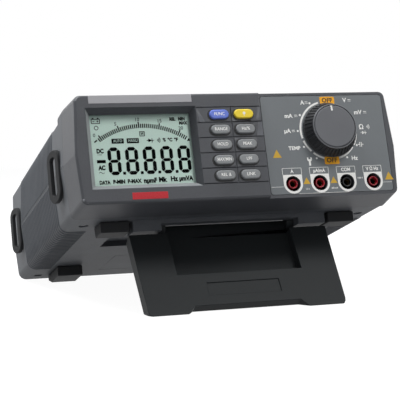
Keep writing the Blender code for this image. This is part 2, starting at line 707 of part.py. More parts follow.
def stand_length():
    """From the hinge axis to the furthest point of the stand, along it."""
    outer_y = HINGE_Y - STAND_OUTER * math.cos(STAND_LEAN)
    outer_z = HINGE_Z + STAND_OUTER * math.sin(STAND_LEAN)
    slope = math.tan(TILT)
    floor_z = FEET_BOTTOM - (REAR_FOOT_KNEE - outer_y) * slope
    drop = outer_z - floor_z
    return drop / (math.cos(STAND_LEAN) - math.sin(STAND_LEAN) * slope)


def door_half_size():
    return CELL_LENGTH + BAY_MARGIN, 2 * CELL_RADIUS + BAY_MARGIN


def make_upper_case(parent, looks):
    collar_top = CASE_TOP + COLLAR_HEIGHT
    outer = prism(shell_outline(CASE_TOP, CASE_TOP_RADIUS, 0.0, GAP), SHELL_FRONT, CASE_DEPTH)
    collar_rear = SHELL_FRONT + COLLAR_DEPTH
    collar = prism(shell_outline(collar_top, BEZEL_CORNER, 0.0, GAP), SHELL_FRONT, collar_rear)
    inner_radius = CASE_TOP_RADIUS - CASE_WALL
    hollow = prism(
        shell_outline(CASE_TOP - CASE_WALL, inner_radius, CASE_WALL, -PAST),
        SHELL_FRONT - PAST, CASE_DEPTH + PAST,
    )
    collar_hollow = prism(
        shell_outline(collar_top - CASE_WALL, BEZEL_CORNER - CASE_WALL, CASE_WALL, -PAST),
        SHELL_FRONT - PAST, collar_rear - CASE_WALL,
    )
    posts = [
        prism(circle(place, POST_RADIUS, 16), GAP, CASE_TOP - CASE_WALL + LAP, "Z")
        for place in SCREW_PLACES.values()
    ]
    threads = [
        prism(circle(place, SCREW_RADIUS + GAP, 12), -PAST, SCREW_REACH + LAP, "Z")
        for place in SCREW_PLACES.values()
    ]
    steps = [(JOIN, collar), (CUT, hollow), (CUT, collar_hollow)]
    steps += [(JOIN, together(*posts)), (CUT, together(*threads))]
    piece("upper_case", outer, looks["case_plastic"], parent, steps)


def make_rear_panel(parent, looks):
    inset = CASE_WALL + GAP
    bottom, top = CASE_BOTTOM + inset, CASE_TOP - inset
    radius, top_radius = CASE_EDGE_RADIUS - CASE_WALL, CASE_TOP_RADIUS - CASE_WALL
    outline = rounded([
        (-half_width(bottom, inset), bottom, radius),
        (half_width(bottom, inset), bottom, radius),
        (half_width(0, inset), 0.0, 0.0),
        (half_width(top, inset), top, top_radius),
        (-half_width(top, inset), top, top_radius),
        (-half_width(0, inset), 0.0, 0.0),
    ])
    plate = prism(outline, REAR_PANEL_Y, REAR_PANEL_Y + REAR_PANEL_THICK)
    board_top = MAIN_BOARD_Z + BOARD_THICK
    socket_at = (SOCKET_X, board_top + SOCKET_SIZE / 2)
    port_at = (PORT_X, board_top + PORT_HEIGHT / 2)
    face = REAR_PANEL_Y + REAR_PANEL_THICK
    openings = together(*[
        prism(rectangle(place, width + 2 * GAP, height + 2 * GAP), REAR_PANEL_Y - PAST, face + PAST)
        for place, width, height in (
            (socket_at, SOCKET_SIZE, SOCKET_SIZE),
            (port_at, PORT_WIDTH, PORT_HEIGHT),
        )
    ])
    piece("rear_panel", plate, looks["case_plastic"], parent, [(CUT, openings)])
    proud = face + CONNECTOR_PROUD
    socket = prism(rectangle(socket_at, SOCKET_SIZE, SOCKET_SIZE), face - SOCKET_DEPTH, proud)
    barrel = turned([
        (SOCKET_BORE, face + PAST),
        (SOCKET_BORE, face - SOCKET_BORE_DEPTH),
        (SOCKET_PIN, face - SOCKET_BORE_DEPTH),
        (SOCKET_PIN, face + PAST),
    ], socket_at, 20, closed=True)
    piece("adapter_socket", socket, looks["black_plastic"], parent, [(CUT, barrel)])
    port = prism(rectangle(port_at, PORT_WIDTH, PORT_HEIGHT), face - PORT_DEPTH, proud)
    below, above, half_height = PORT_MOUTH
    mouth = rounded([
        (port_at[0] - below, port_at[1] - half_height, PORT_MOUTH_CORNER),
        (port_at[0] + below, port_at[1] - half_height, PORT_MOUTH_CORNER),
        (port_at[0] + above, port_at[1] + half_height, PORT_MOUTH_CORNER),
        (port_at[0] - above, port_at[1] + half_height, PORT_MOUTH_CORNER),
    ], 3)
    steps = [(CUT, prism(mouth, face - PORT_MOUTH_DEPTH, face + PAST))]
    piece("serial_port", port, looks["steel"], parent, steps)


def make_stand(parent, looks):
    """The stand is drawn on its hinge empty, whose Z runs up the deployed stand and whose -Y is its outer side."""
    axis = bpy.data.objects.new("stand_axis", None)
    bpy.context.scene.collection.objects.link(axis)
    axis.parent = parent
    axis.location = (0.0, HINGE_Y, HINGE_Z)
    axis.rotation_euler = (-STAND_LEAN, 0.0, 0.0)
    length = stand_length()
    toe_end = -length - LAP
    middle = -length + STAND_MIDDLE_RISE
    bottom_half = STAND_HALF_WIDTH - STAND_TAPER
    toe_inner = bottom_half - STAND_TOE_WIDTH
    outline = rounded([
        (-STAND_HALF_WIDTH, -STAND_SHOULDER, 0.0),
        (-bottom_half, toe_end, STAND_CORNER),
        (-toe_inner, toe_end, 0.0),
        (-toe_inner + STAND_MIDDLE_RISE, middle, 0.0),
        (toe_inner - STAND_MIDDLE_RISE, middle, 0.0),
        (toe_inner, toe_end, 0.0),
        (bottom_half, toe_end, STAND_CORNER),
        (STAND_HALF_WIDTH, -STAND_SHOULDER, 0.0),
    ])
    plate = prism(outline, -STAND_OUTER, STAND_INNER)
    web = -STAND_OUTER + STAND_PANEL_SINK
    back = STAND_INNER - GAP
    knuckle = [
        (STAND_OUTER * math.cos(math.radians(turn)), STAND_OUTER * math.sin(math.radians(turn)))
        for turn in range(50, 240, 20)
    ]
    tongue = prism(
        [(back, -STAND_SHOULDER - PAST - LAP), (back, LAP), *knuckle,
         (web, -STAND_SHOULDER + LAP), (web, -STAND_SHOULDER - PAST - LAP)],
        -STAND_TONGUE, STAND_TONGUE, "X",
    )
    sunk = box(
        (-STAND_PANEL, -STAND_OUTER - PAST, -STAND_PANEL_END),
        (STAND_PANEL, web, STAND_OUTER + PAST),
    )
    grip = box(
        (-GRIP_HALF_WIDTH, -STAND_OUTER - PAST, -GRIP_ENDS[1]),
        (GRIP_HALF_WIDTH, -STAND_OUTER + GRIP_DEPTH, -GRIP_ENDS[0]),
    )
    rise = math.tan(TILT + STAND_LEAN)
    reach = STAND_OUTER + STAND_INNER
    sole = prism(
        [(-STAND_OUTER - PAST, -length - PAST * rise), (STAND_INNER + PAST, -length + (reach + PAST) * rise),
         (STAND_INNER + PAST, -2 * length), (-STAND_OUTER - PAST, -2 * length)],
        -2 * STAND_HALF_WIDTH, 2 * STAND_HALF_WIDTH, "X",
    )
    hole = circle((0.0, 0.0), PIN_RADIUS + GAP, 16)
    depth = PIN_IN_STAND + GAP
    steps = [(JOIN, tongue), (CUT, sunk), (CUT, grip), (CUT, sole)]
    for side in (-1, 1):
        ends = sorted((side * (STAND_TONGUE - depth), side * (STAND_TONGUE + PAST)))
        steps.append((CUT, prism(hole, *ends, "X")))
    piece("tilt_stand", plate, looks["case_plastic"], axis, steps)
    for side, name in ((-1, "left"), (1, "right")):
        near = side * (STAND_TONGUE - PIN_IN_STAND)
        ends = sorted((near, near + side * PIN_LENGTH))
        pin = prism(circle((HINGE_Y, HINGE_Z), PIN_RADIUS, 16), *ends, "X")
        piece(f"stand_pin_{name}", pin, looks["steel"], parent)


def make_feet(parent, looks):
    top = CASE_BOTTOM - GAP
    rear_start = REAR_FOOT_KNEE - FOOT_FLAT
    rear_end = rear_start + FOOT_LENGTH
    heel = FEET_BOTTOM + (rear_end - REAR_FOOT_KNEE) * math.tan(TILT)
    rear = [
        (rear_start, top), (rear_start + LAP, FEET_BOTTOM), (REAR_FOOT_KNEE, FEET_BOTTOM),
        (rear_end, heel), (rear_end, top),
    ]
    front_end = FRONT_FOOT_Y + FRONT_FOOT_LENGTH
    front = [
        (FRONT_FOOT_Y, top), (FRONT_FOOT_Y, FEET_BOTTOM), (front_end, FEET_BOTTOM),
        (front_end + 2 * LAP, top),
    ]
    for side, name in ((-1, "left"), (1, "right")):
        ends = sorted((side * (FOOT_X - FOOT_WIDTH / 2), side * (FOOT_X + FOOT_WIDTH / 2)))
        piece(f"rear_foot_{name}", prism(rear, *ends, "X"), looks["black_rubber"], parent)
        piece(f"front_foot_{name}", prism(front, *ends, "X"), looks["black_rubber"], parent)


def make_guards(parent, looks):
    """Hoops on the sides, each rooted in front on the wall behind it."""
    wall = prism(
        [
            (-half_width(CASE_BOTTOM, -GAP), CASE_BOTTOM), (half_width(CASE_BOTTOM, -GAP), CASE_BOTTOM),
            (half_width(0, -GAP), 0.0), (half_width(CASE_TOP, -GAP), CASE_TOP),
            (-half_width(CASE_TOP, -GAP), CASE_TOP), (-half_width(0, -GAP), 0.0),
        ],
        0.0, CASE_DEPTH,
    )
    edge = GUARD_EDGE
    inner_width, inner_height = GUARD_WIDTH - 2 * GUARD_BAND, GUARD_HEIGHT - 2 * GUARD_BAND
    inner_corner = GUARD_CORNER - GUARD_BAND
    slope = (GUARD_STAND_OUT - GUARD_LIP) / GUARD_WIDTH
    for place, y in (("front", GUARD_FRONT_Y), ("rear", GUARD_REAR_Y)):
        front = y - GUARD_WIDTH / 2
        centre = (y, GUARD_Z)
        outer = rectangle(centre, GUARD_WIDTH, GUARD_HEIGHT, GUARD_CORNER)
        crest = rectangle(centre, GUARD_WIDTH - 2 * edge, GUARD_HEIGHT - 2 * edge, GUARD_CORNER - edge)
        inner_crest = rectangle(centre, inner_width + edge, inner_height + edge, inner_corner + edge / 2)
        inner = rectangle(centre, inner_width, inner_height, inner_corner)
        root = rectangle((front + GUARD_BAND / 2, GUARD_Z), GUARD_BAND - LAP, inner_height, inner_corner / 2)
        for side, hand in ((-1, "left"), (1, "right")):

            def leaning(outline, lift):
                """The outline's points (y, z) on a plane that leans out from the wall towards the rear."""
                out = CASE_HALF_WIDTH + lift
                return [(side * (out + (at - front) * slope), at, height) for at, height in outline]

            hoop = loft([
                leaning(outer, GUARD_LIP - GUARD_THICK), leaning(outer, GUARD_LIP - edge),
                leaning(crest, GUARD_LIP), leaning(inner_crest, GUARD_LIP),
                leaning(inner, GUARD_LIP - edge), leaning(inner, GUARD_LIP - GUARD_THICK),
            ], closed=True)
            block = loft([leaning(root, -GUARD_ROOT), leaning(root, GUARD_LIP - edge)])
            name = f"side_guard_{place}_{hand}"
            piece(name, hoop, looks["black_rubber"], parent, [(JOIN, block), (CUT, wall)])


def make_battery_bay(parent, looks):
    half_x, half_y = door_half_size()
    inside = CASE_BOTTOM + DOOR_THICK
    door_edge = box(
        (-half_x + GAP, BAY_CENTRE_Y - half_y + GAP, CASE_BOTTOM),
        (half_x - GAP, BAY_CENTRE_Y + half_y - GAP, inside),
    )
    piece("battery_door", door_edge, looks["case_plastic"], parent)
    roof = FLOOR_INSIDE + 2 * CELL_RADIUS + 2 * GAP
    tray_low = (-half_x, BAY_CENTRE_Y - half_y, FLOOR_INSIDE + GAP)
    tray_high = (half_x, BAY_CENTRE_Y + half_y, roof + TRAY_WALL)
    tray = box(tray_low, tray_high)
    room = box(
        (-half_x + TRAY_WALL, BAY_CENTRE_Y - half_y + TRAY_WALL, 2 * CASE_BOTTOM),
        (half_x - TRAY_WALL, BAY_CENTRE_Y + half_y - TRAY_WALL, roof),
    )
    piece("battery_tray", tray, looks["black_plastic"], parent, [(CUT, room)])
    cell_z = roof - GAP - CELL_RADIUS
    number = 0
    for row in (-1, 1):
        for column in (-1, 1):
            number += 1
            centre = (BAY_CENTRE_Y + row * (CELL_RADIUS + GAP / 2), cell_z)
            start = column * (CELL_LENGTH / 2 + GAP) - CELL_LENGTH / 2
            cell = prism(circle(centre, CELL_RADIUS, 24), start, start + CELL_LENGTH, "X")
            piece(f"battery_cell_{number}", cell, looks["cell_wrap"], parent)


def make_electronics(parent, looks):
    board_top = MAIN_BOARD_Z + BOARD_THICK
    board = box(
        (-MAIN_BOARD_HALF_WIDTH, MAIN_BOARD_FRONT, MAIN_BOARD_Z),
        (MAIN_BOARD_HALF_WIDTH, MAIN_BOARD_REAR, board_top),
    )
    piece("main_board", board, looks["board"], parent)
    can_low = (CAN_LOW[0], MAIN_BOARD_FRONT + CAN_LOW[1], board_top + GAP)
    can_high = tuple(low + size for low, size in zip(can_low, CAN_SIZE))
    room = box(
        (can_low[0] + CAN_SHEET, can_low[1] + CAN_SHEET, can_low[2] - PAST),
        (can_high[0] - CAN_SHEET, can_high[1] - CAN_SHEET, can_high[2] - CAN_SHEET),
    )
    piece("shield_can", box(can_low, can_high), looks["steel"], parent, [(CUT, room)])
    block_low = (FUSE_BLOCK_LOW[0], MAIN_BOARD_FRONT + FUSE_BLOCK_LOW[1], board_top + GAP)
    block_high = tuple(low + size for low, size in zip(block_low, FUSE_BLOCK_SIZE))
    saddles = []
    middle = (block_low[1] + block_high[1]) / 2
    for name, x, radius, length in FUSES:
        centre = (x, block_high[2] + LAP)
        saddles.append(
            prism(circle(centre, radius + GAP, 20), block_low[1] - PAST, block_high[1] + PAST)
        )
        fuse = prism(circle(centre, radius, 20), middle - length / 2, middle + length / 2)
        piece(f"fuse_{name}", fuse, looks["fuse_body"], parent)
    steps = [(CUT, together(*saddles))]
    piece("fuse_block", box(block_low, block_high), looks["black_plastic"], parent, steps)


def make_screws(parent, looks):
    under_head = SCREW_SEAT + SCREW_HEAD_THICK
    for name, place in SCREW_PLACES.items():
        rings = [
            (SCREW_HEAD_RADIUS, SCREW_SEAT), (SCREW_HEAD_RADIUS, under_head),
            (SCREW_RADIUS, under_head), (SCREW_RADIUS, SCREW_REACH),
        ]
        screw = loft([along("Z", circle(place, radius, 16), z) for radius, z in rings])
        piece(f"case_screw_{name}", screw, looks["steel"], parent)


def stand_on_floor(root):
    """Moves the tilted instrument so that the middle of its footprint is at the origin, on the floor."""
    bpy.context.view_layer.update()
    graph = bpy.context.evaluated_depsgraph_get()
    corners = []
    for thing in bpy.context.scene.objects:
        if thing.type != "MESH" or thing.hide_render:
            continue
        evaluated = thing.evaluated_get(graph)
        mesh = evaluated.to_mesh()
        corners += [evaluated.matrix_world @ vertex.co for vertex in mesh.vertices]
        evaluated.to_mesh_clear()
    low = [min(corner[axis] for corner in corners) for axis in range(3)]
    high = [max(corner[axis] for corner in corners) for axis in range(3)]
    root.location = (-(low[0] + high[0]) / 2, -(low[1] + high[1]) / 2, -low[2])
    bpy.context.view_layer.update()


def main():
    clear_scene()
    looks = make_materials()
    root = bpy.data.objects.new("instrument", None)
    bpy.context.scene.collection.objects.link(root)
    root.rotation_euler = (-TILT, 0.0, 0.0)
    make_bezel(root, looks)
    make_function_panel(root, looks)
    make_display(root, looks)
    make_keys(root, looks)
    make_knob(root, looks)
    make_terminals(root, looks)
    make_lower_case(root, looks)
    make_upper_case(root, looks)
    make_rear_panel(root, looks)
    make_stand(root, looks)
    make_feet(root, looks)
    make_guards(root, looks)
    make_battery_bay(root, looks)
    make_electronics(root, looks)
    make_screws(root, looks)
    stand_on_floor(root)


main()
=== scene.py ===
# %% [markdown]
# # Dressing a bench multimeter
#
# The instrument arrives as a frame of plain mechanical pieces, each riding on the body that it moves with.
# This notebook gives them the look of the real thing: spark-eroded mouldings with soft edges, a ribbed
# case, printed legends, a liquid crystal display, a fluted knob and glossy terminals. Nothing is moved or
# resized. A piece either keeps its mesh and gets a finish, or a finer mesh stands for it in exactly the
# same place.

import json
import math

import bmesh
import bpy
from mathutils import Matrix, Vector


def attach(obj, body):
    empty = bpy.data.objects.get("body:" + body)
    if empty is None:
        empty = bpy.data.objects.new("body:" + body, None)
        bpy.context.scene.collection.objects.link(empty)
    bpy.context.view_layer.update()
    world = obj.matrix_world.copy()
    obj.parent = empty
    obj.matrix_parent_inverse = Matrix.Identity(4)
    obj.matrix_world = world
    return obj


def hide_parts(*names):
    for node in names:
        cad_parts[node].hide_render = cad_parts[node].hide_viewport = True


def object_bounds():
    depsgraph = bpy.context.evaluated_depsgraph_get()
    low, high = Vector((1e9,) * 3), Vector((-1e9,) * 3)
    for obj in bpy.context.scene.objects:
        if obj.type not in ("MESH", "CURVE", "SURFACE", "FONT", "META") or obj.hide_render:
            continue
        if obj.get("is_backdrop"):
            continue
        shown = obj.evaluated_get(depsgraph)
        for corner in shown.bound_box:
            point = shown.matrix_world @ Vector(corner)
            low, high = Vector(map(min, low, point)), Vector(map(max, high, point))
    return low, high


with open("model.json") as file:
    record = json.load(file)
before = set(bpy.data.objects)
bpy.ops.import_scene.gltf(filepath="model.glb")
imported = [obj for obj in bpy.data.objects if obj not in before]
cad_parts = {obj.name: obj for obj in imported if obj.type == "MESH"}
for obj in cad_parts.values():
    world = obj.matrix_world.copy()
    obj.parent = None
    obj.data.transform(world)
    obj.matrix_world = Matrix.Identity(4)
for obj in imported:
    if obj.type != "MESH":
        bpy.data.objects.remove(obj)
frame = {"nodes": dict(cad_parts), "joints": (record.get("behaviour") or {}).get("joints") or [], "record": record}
cad_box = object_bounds()

# %% [markdown]
# ## One set of axes for the whole instrument
#
# The instrument leans back on its stand, so no face of it is square to the world. It is far easier to work
# in the instrument's own millimetres: X to the right, Y from the face to the rear, Z up the face, with zero
# on the raised part of the face at the line where the case parts. The knob's axis gives the lean and one
# known point of the face, and from them comes the matrix that puts a finished mesh in its place.

# %% Work out the instrument's axes
MM = 0.001
KNOB_X, KNOB_Z = 67.4, 12.7
PANEL_Y = 3.5  # the right part of the face lies this far behind the left part

joints = {joint["name"]: joint for joint in frame["joints"]}
knob_axis = Vector(joints["knob_turn"]["axis"])
lean = math.atan2(-knob_axis.z, knob_axis.y)
turn = Matrix.Rotation(-lean, 4, "X")
corner = Vector(joints["knob_turn"]["pos_m"]) - turn @ Vector((KNOB_X, PANEL_Y, KNOB_Z)) * MM
PLACE = Matrix.Translation(corner) @ turn @ Matrix.Scale(MM, 4)
BACK = PLACE.inverted()
print(f"the face leans back {math.degrees(lean):.1f} degrees")

# %% [markdown]
# ## Camera, floor and light
#
# A product picture of this kind is taken from a little above the table, to the left, with a long lens that
# keeps the edges nearly parallel. The light is a large soft box high on the right, a paler one behind on
# the left that runs along the flank, and an even grey surround. The floor and the surround look white to
# the camera and to gloss, while the object itself is lit at a plain level.

# %% Place the camera
CAMERA_AT = Vector((-289.37, -936.38, 125.84)) * MM
CAMERA_RIGHT = Vector((0.95251, -0.30364, -0.02305))
CAMERA_AIM = Vector((0.30187, 0.95149, -0.05958))
CAMERA_LENS = 115.36

camera_data = bpy.data.cameras.new("camera")
camera_data.lens = CAMERA_LENS
camera_data.sensor_width = 36.0
camera_data.clip_start = 0.01
camera = bpy.data.objects.new("camera", camera_data)
camera_up = CAMERA_RIGHT.cross(CAMERA_AIM)
camera.matrix_world = Matrix.Translation(CAMERA_AT) @ Matrix(
    (CAMERA_RIGHT, camera_up, -CAMERA_AIM)
).transposed().to_4x4()
bpy.context.scene.collection.objects.link(camera)
bpy.context.scene.camera = camera
bpy.context.scene.view_settings.view_transform = "Standard"
print(f"camera {CAMERA_AT.length:.2f} m away, {CAMERA_LENS:.0f} mm lens")

# %% [markdown]
# ## Writing materials as sums
#
# A procedural finish is a small sum: some noise, scaled and shifted, decides how dark or how rough a spot
# is. Nodes joined by hand hide that sum, so the two classes below let it be written as Python. `Signal` is
# the output of any node and knows the four operations, and `Wiring` adds any other node from its type, its
# settings and its sockets. The same `Wiring` serves materials and geometry.

# %% Signals and wiring
class Signal:
    """The output socket of a node, which takes part in sums."""

    def __init__(self, wiring, socket):
        self.wiring = wiring
        self.socket = socket

    def maths(self, operation, *values):
        return self.wiring.node("ShaderNodeMath", {"operation": operation}, dict(enumerate(values)))

    def __add__(self, other):
        return self.maths("ADD", self, other)

    def __sub__(self, other):
        return self.maths("SUBTRACT", self, other)

    def __rsub__(self, other):
        return self.maths("SUBTRACT", other, self)

    def __mul__(self, other):
        return self.maths("MULTIPLY", self, other)

    def __truediv__(self, other):
        return self.maths("DIVIDE", self, other)

    __radd__ = __add__
    __rmul__ = __mul__

    def span(self, low, high):
        """This signal stretched so that low becomes 0 and high becomes 1, and held between them."""
        return self.wiring.node("ShaderNodeMapRange", {}, {0: self, 1: low, 2: high})


class Wiring:
    """A node tree being built. node() adds one node and gives back one of its outputs."""

    def __init__(self, tree):
        self.tree = tree

    def node(self, kind, settings=(), sockets=(), output=0):
        made = self.tree.nodes.new(kind)
        for name, value in dict(settings).items():
            if name == "stops":
                for element, (place, colour) in zip(made.color_ramp.elements, value):
                    element.position, element.color = place, colour
            else:
                setattr(made, name, value)
        for key, value in dict(sockets).items():
            if isinstance(value, Signal):
                self.tree.links.new(value.socket, made.inputs[key])
            else:
                made.inputs[key].default_value = value
        return Signal(self, made.outputs[output]) if made.outputs else made


def colour(red, green, blue):
    """A colour given as a screen shows it, 0 to 255, turned into the linear numbers that Blender mixes."""
    def linear(value):
        share = value / 255
        return share / 12.92 if share <= 0.04045 else ((share + 0.055) / 1.055) ** 2.4
    return (linear(red), linear(green), linear(blue), 1.0)


def shade(tone, amount):
    return (*(min(1.0, part * amount) for part in tone[:3]), 1.0)


print("a mid grey of 128 is", round(colour(128, 128, 128)[0], 3), "in linear light")

# %% [markdown]
# ## The stage
#
# The floor is a plain pale sheet. It keeps the soft shadow of the instrument, and a little light of its
# own, seen only by the camera and by gloss, carries it to white away from the shadow.

# %% Floor and surround
FLOOR_SIZE = 6.0


def seen_directly(wiring):
    """1 for what is seen straight, in gloss or through glass, and 0 for the light that falls on things."""
    kinds = ("Is Camera Ray", "Is Glossy Ray", "Is Transmission Ray")
    tree_node = wiring.tree.nodes.new("ShaderNodeLightPath")
    rays = [Signal(wiring, tree_node.outputs[kind]) for kind in kinds]
    return rays[0].maths("MAXIMUM", rays[0], rays[1].maths("MAXIMUM", rays[1], rays[2]))


floor_finish = bpy.data.materials.new("floor_sheet")
floor_finish.use_nodes = True
floor_finish.node_tree.nodes.clear()
wiring = Wiring(floor_finish.node_tree)
paper = wiring.node("ShaderNodeBsdfDiffuse", {}, {"Color": (0.18, 0.18, 0.183, 1.0)})
lift = wiring.node("ShaderNodeEmission", {}, {"Strength": seen_directly(wiring) * 0.95})
sheet = wiring.node("ShaderNodeAddShader", {}, {0: paper, 1: lift})
wiring.node("ShaderNodeOutputMaterial", {}, {"Surface": sheet})

floor_mesh = bpy.data.meshes.new("floor")
half = FLOOR_SIZE / 2
floor_mesh.from_pydata(
    [(-half, -half, 0), (half, -half, 0), (half, half, 0), (-half, half, 0)], [], [(0, 1, 2, 3)]
)
floor_mesh.materials.append(floor_finish)
floor = bpy.data.objects.new("floor", floor_mesh)
bpy.context.scene.collection.objects.link(floor)
floor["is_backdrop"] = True

world = bpy.data.worlds.new("surround")
world.use_nodes = True
world.node_tree.nodes.clear()
wiring = Wiring(world.node_tree)
SURROUND = 0.15
strength = seen_directly(wiring) * (1.0 - SURROUND) + SURROUND
surround = wiring.node("ShaderNodeBackground", {}, {"Color": (1.0, 1.0, 1.0, 1.0), "Strength": strength})
wiring.node("ShaderNodeOutputWorld", {}, {"Surface": surround})
bpy.context.scene.world = world
print("floor", FLOOR_SIZE, "m across, surround at", SURROUND)

# %% Soft boxes
LAMPS = {
    # name: place (m), aim (m), width, height (m), power (W), colour
    "high_right": ((0.5, -0.75, 1.3), (0.05, 0.0, 0.08), 0.5, 0.5, 13.0, (1.0, 0.99, 0.97)),
    "overhead_left": ((-0.5, 0.25, 1.25), (0.0, 0.0, 0.06), 0.8, 0.8, 20.0, (0.97, 0.99, 1.0)),
    "low_front": ((-0.35, -1.4, 0.5), (0.0, 0.0, 0.05), 0.9, 0.5, 1.2, (1.0, 1.0, 1.0)),
    "behind_left": ((-0.75, 1.45, 0.45), (0.0, 0.0, 0.1), 0.6, 0.5, 2.2, (1.0, 1.0, 1.0)),
    "right_side": ((1.4, 0.35, 0.35), (0.0, 0.0, 0.08), 0.6, 0.4, 14.0, (1.0, 1.0, 1.0)),
}


def add_lamp(name, place, aim, width, height, power, tint):
    data = bpy.data.lights.new(name, "AREA")
    data.shape = "RECTANGLE"
    data.size, data.size_y = width, height
    data.energy, data.color = power, tint
    lamp = bpy.data.objects.new(name, data)
    facing = (Vector(aim) - Vector(place)).to_track_quat("-Z", "Y")
    lamp.matrix_world = Matrix.Translation(place) @ facing.to_matrix().to_4x4()
    bpy.context.scene.collection.objects.link(lamp)


for lamp_name, facts in LAMPS.items():
    add_lamp(lamp_name, *facts)
print("soft boxes:", ", ".join(LAMPS))

# %% [markdown]
# ## Moulded plastic
#
# The tool that moulds a case like this is spark-eroded, which leaves millions of tiny craters. On the
# finished part they read as a fine grain that breaks up every highlight, over a colour that is never quite
# even. Three noises do it: a slow one for the cloudy colour, a medium one for the grain you can see, and a
# fine one that roughens the gloss. One function makes every plastic here, from case to knob, by changing
# how strong each of them is.

# %% A finish for anything moulded
finishes = {}


def start_finish(name):
    material = bpy.data.materials.new(name)
    material.use_nodes = True
    material.node_tree.nodes.clear()
    finishes[name] = material
    return Wiring(material.node_tree)


def noise(wiring, size, detail=2.0):
    """Cloudy noise whose lumps are about size millimetres across."""
    place = wiring.node("ShaderNodeTexCoord", {}, {}, output=3)
    return wiring.node(
        "ShaderNodeTexNoise", {},
        {"Vector": place, "Scale": 1.0 / (size * MM), "Detail": detail, "Roughness": 0.6},
    )


def close_finish(wiring, sockets):
    skin = wiring.node("ShaderNodeBsdfPrincipled", {}, sockets)
    wiring.node("ShaderNodeOutputMaterial", {}, {"Surface": skin})


def moulded(name, tone, gloss=0.5, grain=0.35, cloud=0.12, coat=0.0, shine=0.3, grain_size=0.9):
    wiring = start_finish(name)
    slow = noise(wiring, 28.0)
    medium = noise(wiring, grain_size, 3.0)
    fine = noise(wiring, 0.35, 1.0)
    mask = (slow * 0.55 + medium * 0.45).span(0.32, 0.68)
    mixed = wiring.node(
        "ShaderNodeMix",
        {"data_type": "RGBA"},
        {0: mask, 6: shade(tone, 1.0 - cloud), 7: shade(tone, 1.0 + cloud)},
        output=2,
    )
    bump = wiring.node(
        "ShaderNodeBump",
        {},
        {"Height": medium * 0.6 + fine * 0.4, "Strength": grain, "Distance": 0.25 * MM},
    )
    close_finish(wiring, {
        "Base Color": mixed,
        "Roughness": (fine - 0.5) * 0.25 + gloss,
        "Coat Weight": coat,
        "Coat Roughness": 0.12,
        "Specular IOR Level": shine,
        "Normal": bump,
    })


moulded("bezel_plastic", colour(76, 78, 83), gloss=0.5, grain=0.4)
moulded("panel_film", colour(116, 121, 125), gloss=0.42, grain=0.16, cloud=0.05)
moulded("case_plastic", colour(92, 95, 100), gloss=0.55, grain=0.45, shine=0.18)
moulded("stand_plastic", colour(42, 45, 47), gloss=0.55, grain=0.12, cloud=0.06, shine=0.12)
moulded("grey_key", colour(140, 143, 146), gloss=0.4, grain=0.12, cloud=0.08)
moulded("blue_key", colour(112, 134, 226), gloss=0.35, grain=0.1, cloud=0.06)
moulded("yellow_key", colour(255, 224, 66), gloss=0.35, grain=0.08, cloud=0.05)
moulded("silicone", colour(150, 150, 150), gloss=0.7, grain=0.1)
moulded("black_plastic", colour(26, 26, 28), gloss=0.36, grain=0.12, coat=0.15)
moulded("cap_plastic", colour(104, 106, 111), gloss=0.4, grain=0.18, cloud=0.05)
moulded("red_plastic", colour(160, 16, 38), gloss=0.25, grain=0.03, cloud=0.1, coat=0.4)
moulded("black_rubber", colour(34, 35, 37), gloss=0.65, grain=0.3, cloud=0.15, shine=0.2)
moulded("knob_plastic", colour(42, 43, 46), gloss=0.36, grain=0.12)
# Painted highlight: a pale tone for the left and lower slopes of the display recess, where they catch the light.
moulded("recess_satin", colour(150, 154, 157), gloss=0.4, grain=0.12, cloud=0.05)
moulded("strip_film", colour(176, 176, 181), gloss=0.35, grain=0.05, cloud=0.04)
moulded("badge_film", colour(196, 30, 44), gloss=0.3, grain=0.03, cloud=0.04, coat=0.3)
moulded("white_print", colour(252, 252, 250), gloss=0.5, grain=0.05, cloud=0.02)
moulded("orange_print", colour(255, 178, 32), gloss=0.45, grain=0.05, cloud=0.04)
moulded("gold_print", colour(214, 172, 62), gloss=0.45, grain=0.05, cloud=0.05)
moulded("dark_print", colour(36, 30, 22), gloss=0.5, grain=0.03, cloud=0.02)
moulded("lcd_ink", colour(3, 5, 5), gloss=0.7, grain=0.0, cloud=0.02, shine=0.02)
moulded("lcd_faint_ink", colour(96, 118, 112), gloss=0.4, grain=0.0, cloud=0.02)
moulded("cell_wrap", colour(52, 50, 56), gloss=0.3, grain=0.05, cloud=0.1)
moulded("fuse_body", colour(226, 222, 210), gloss=0.35, grain=0.05)
moulded("lcd_glass", colour(208, 234, 224), gloss=0.3, grain=0.0, cloud=0.02)
moulded("board", colour(30, 104, 66), gloss=0.4, grain=0.2, cloud=0.2)
print("moulded finishes:", len(finishes))

# %% [markdown]
# ## Metal and glass
#
# Brass contacts and steel screws are bright metal with fine turning marks and a little tarnish. The display
# window is a clear sheet: hardly any colour of its own, only a faint reflection, so it is mostly let
# through.

# %% Metals and the window
def metal(name, bright, tarnished, gloss):
    wiring = start_finish(name)
    marks = noise(wiring, 0.5, 4.0)
    patches = noise(wiring, 5.0)
    mixed = wiring.node(
        "ShaderNodeMix", {"data_type": "RGBA"}, {0: patches.span(0.4, 0.7), 6: bright, 7: tarnished}, output=2
    )
    bump = wiring.node("ShaderNodeBump", {}, {"Height": marks, "Strength": 0.15, "Distance": 0.05 * MM})
    close_finish(
        wiring, {"Base Color": mixed, "Metallic": 1.0, "Roughness": marks * 0.3 + gloss, "Normal": bump}
    )


metal("brass", colour(128, 104, 64), colour(84, 64, 38), 0.3)
metal("steel", colour(190, 190, 192), colour(140, 138, 136), 0.2)

wiring = start_finish("clear_lens")
smear = noise(wiring, 20.0)
close_finish(wiring, {
    "Base Color": colour(30, 32, 32), "Roughness": smear * 0.08 + 0.04, "Alpha": smear * 0.01 + 0.008,
})
finishes["clear_lens"].surface_render_method = "BLENDED"
print("finishes:", len(finishes))

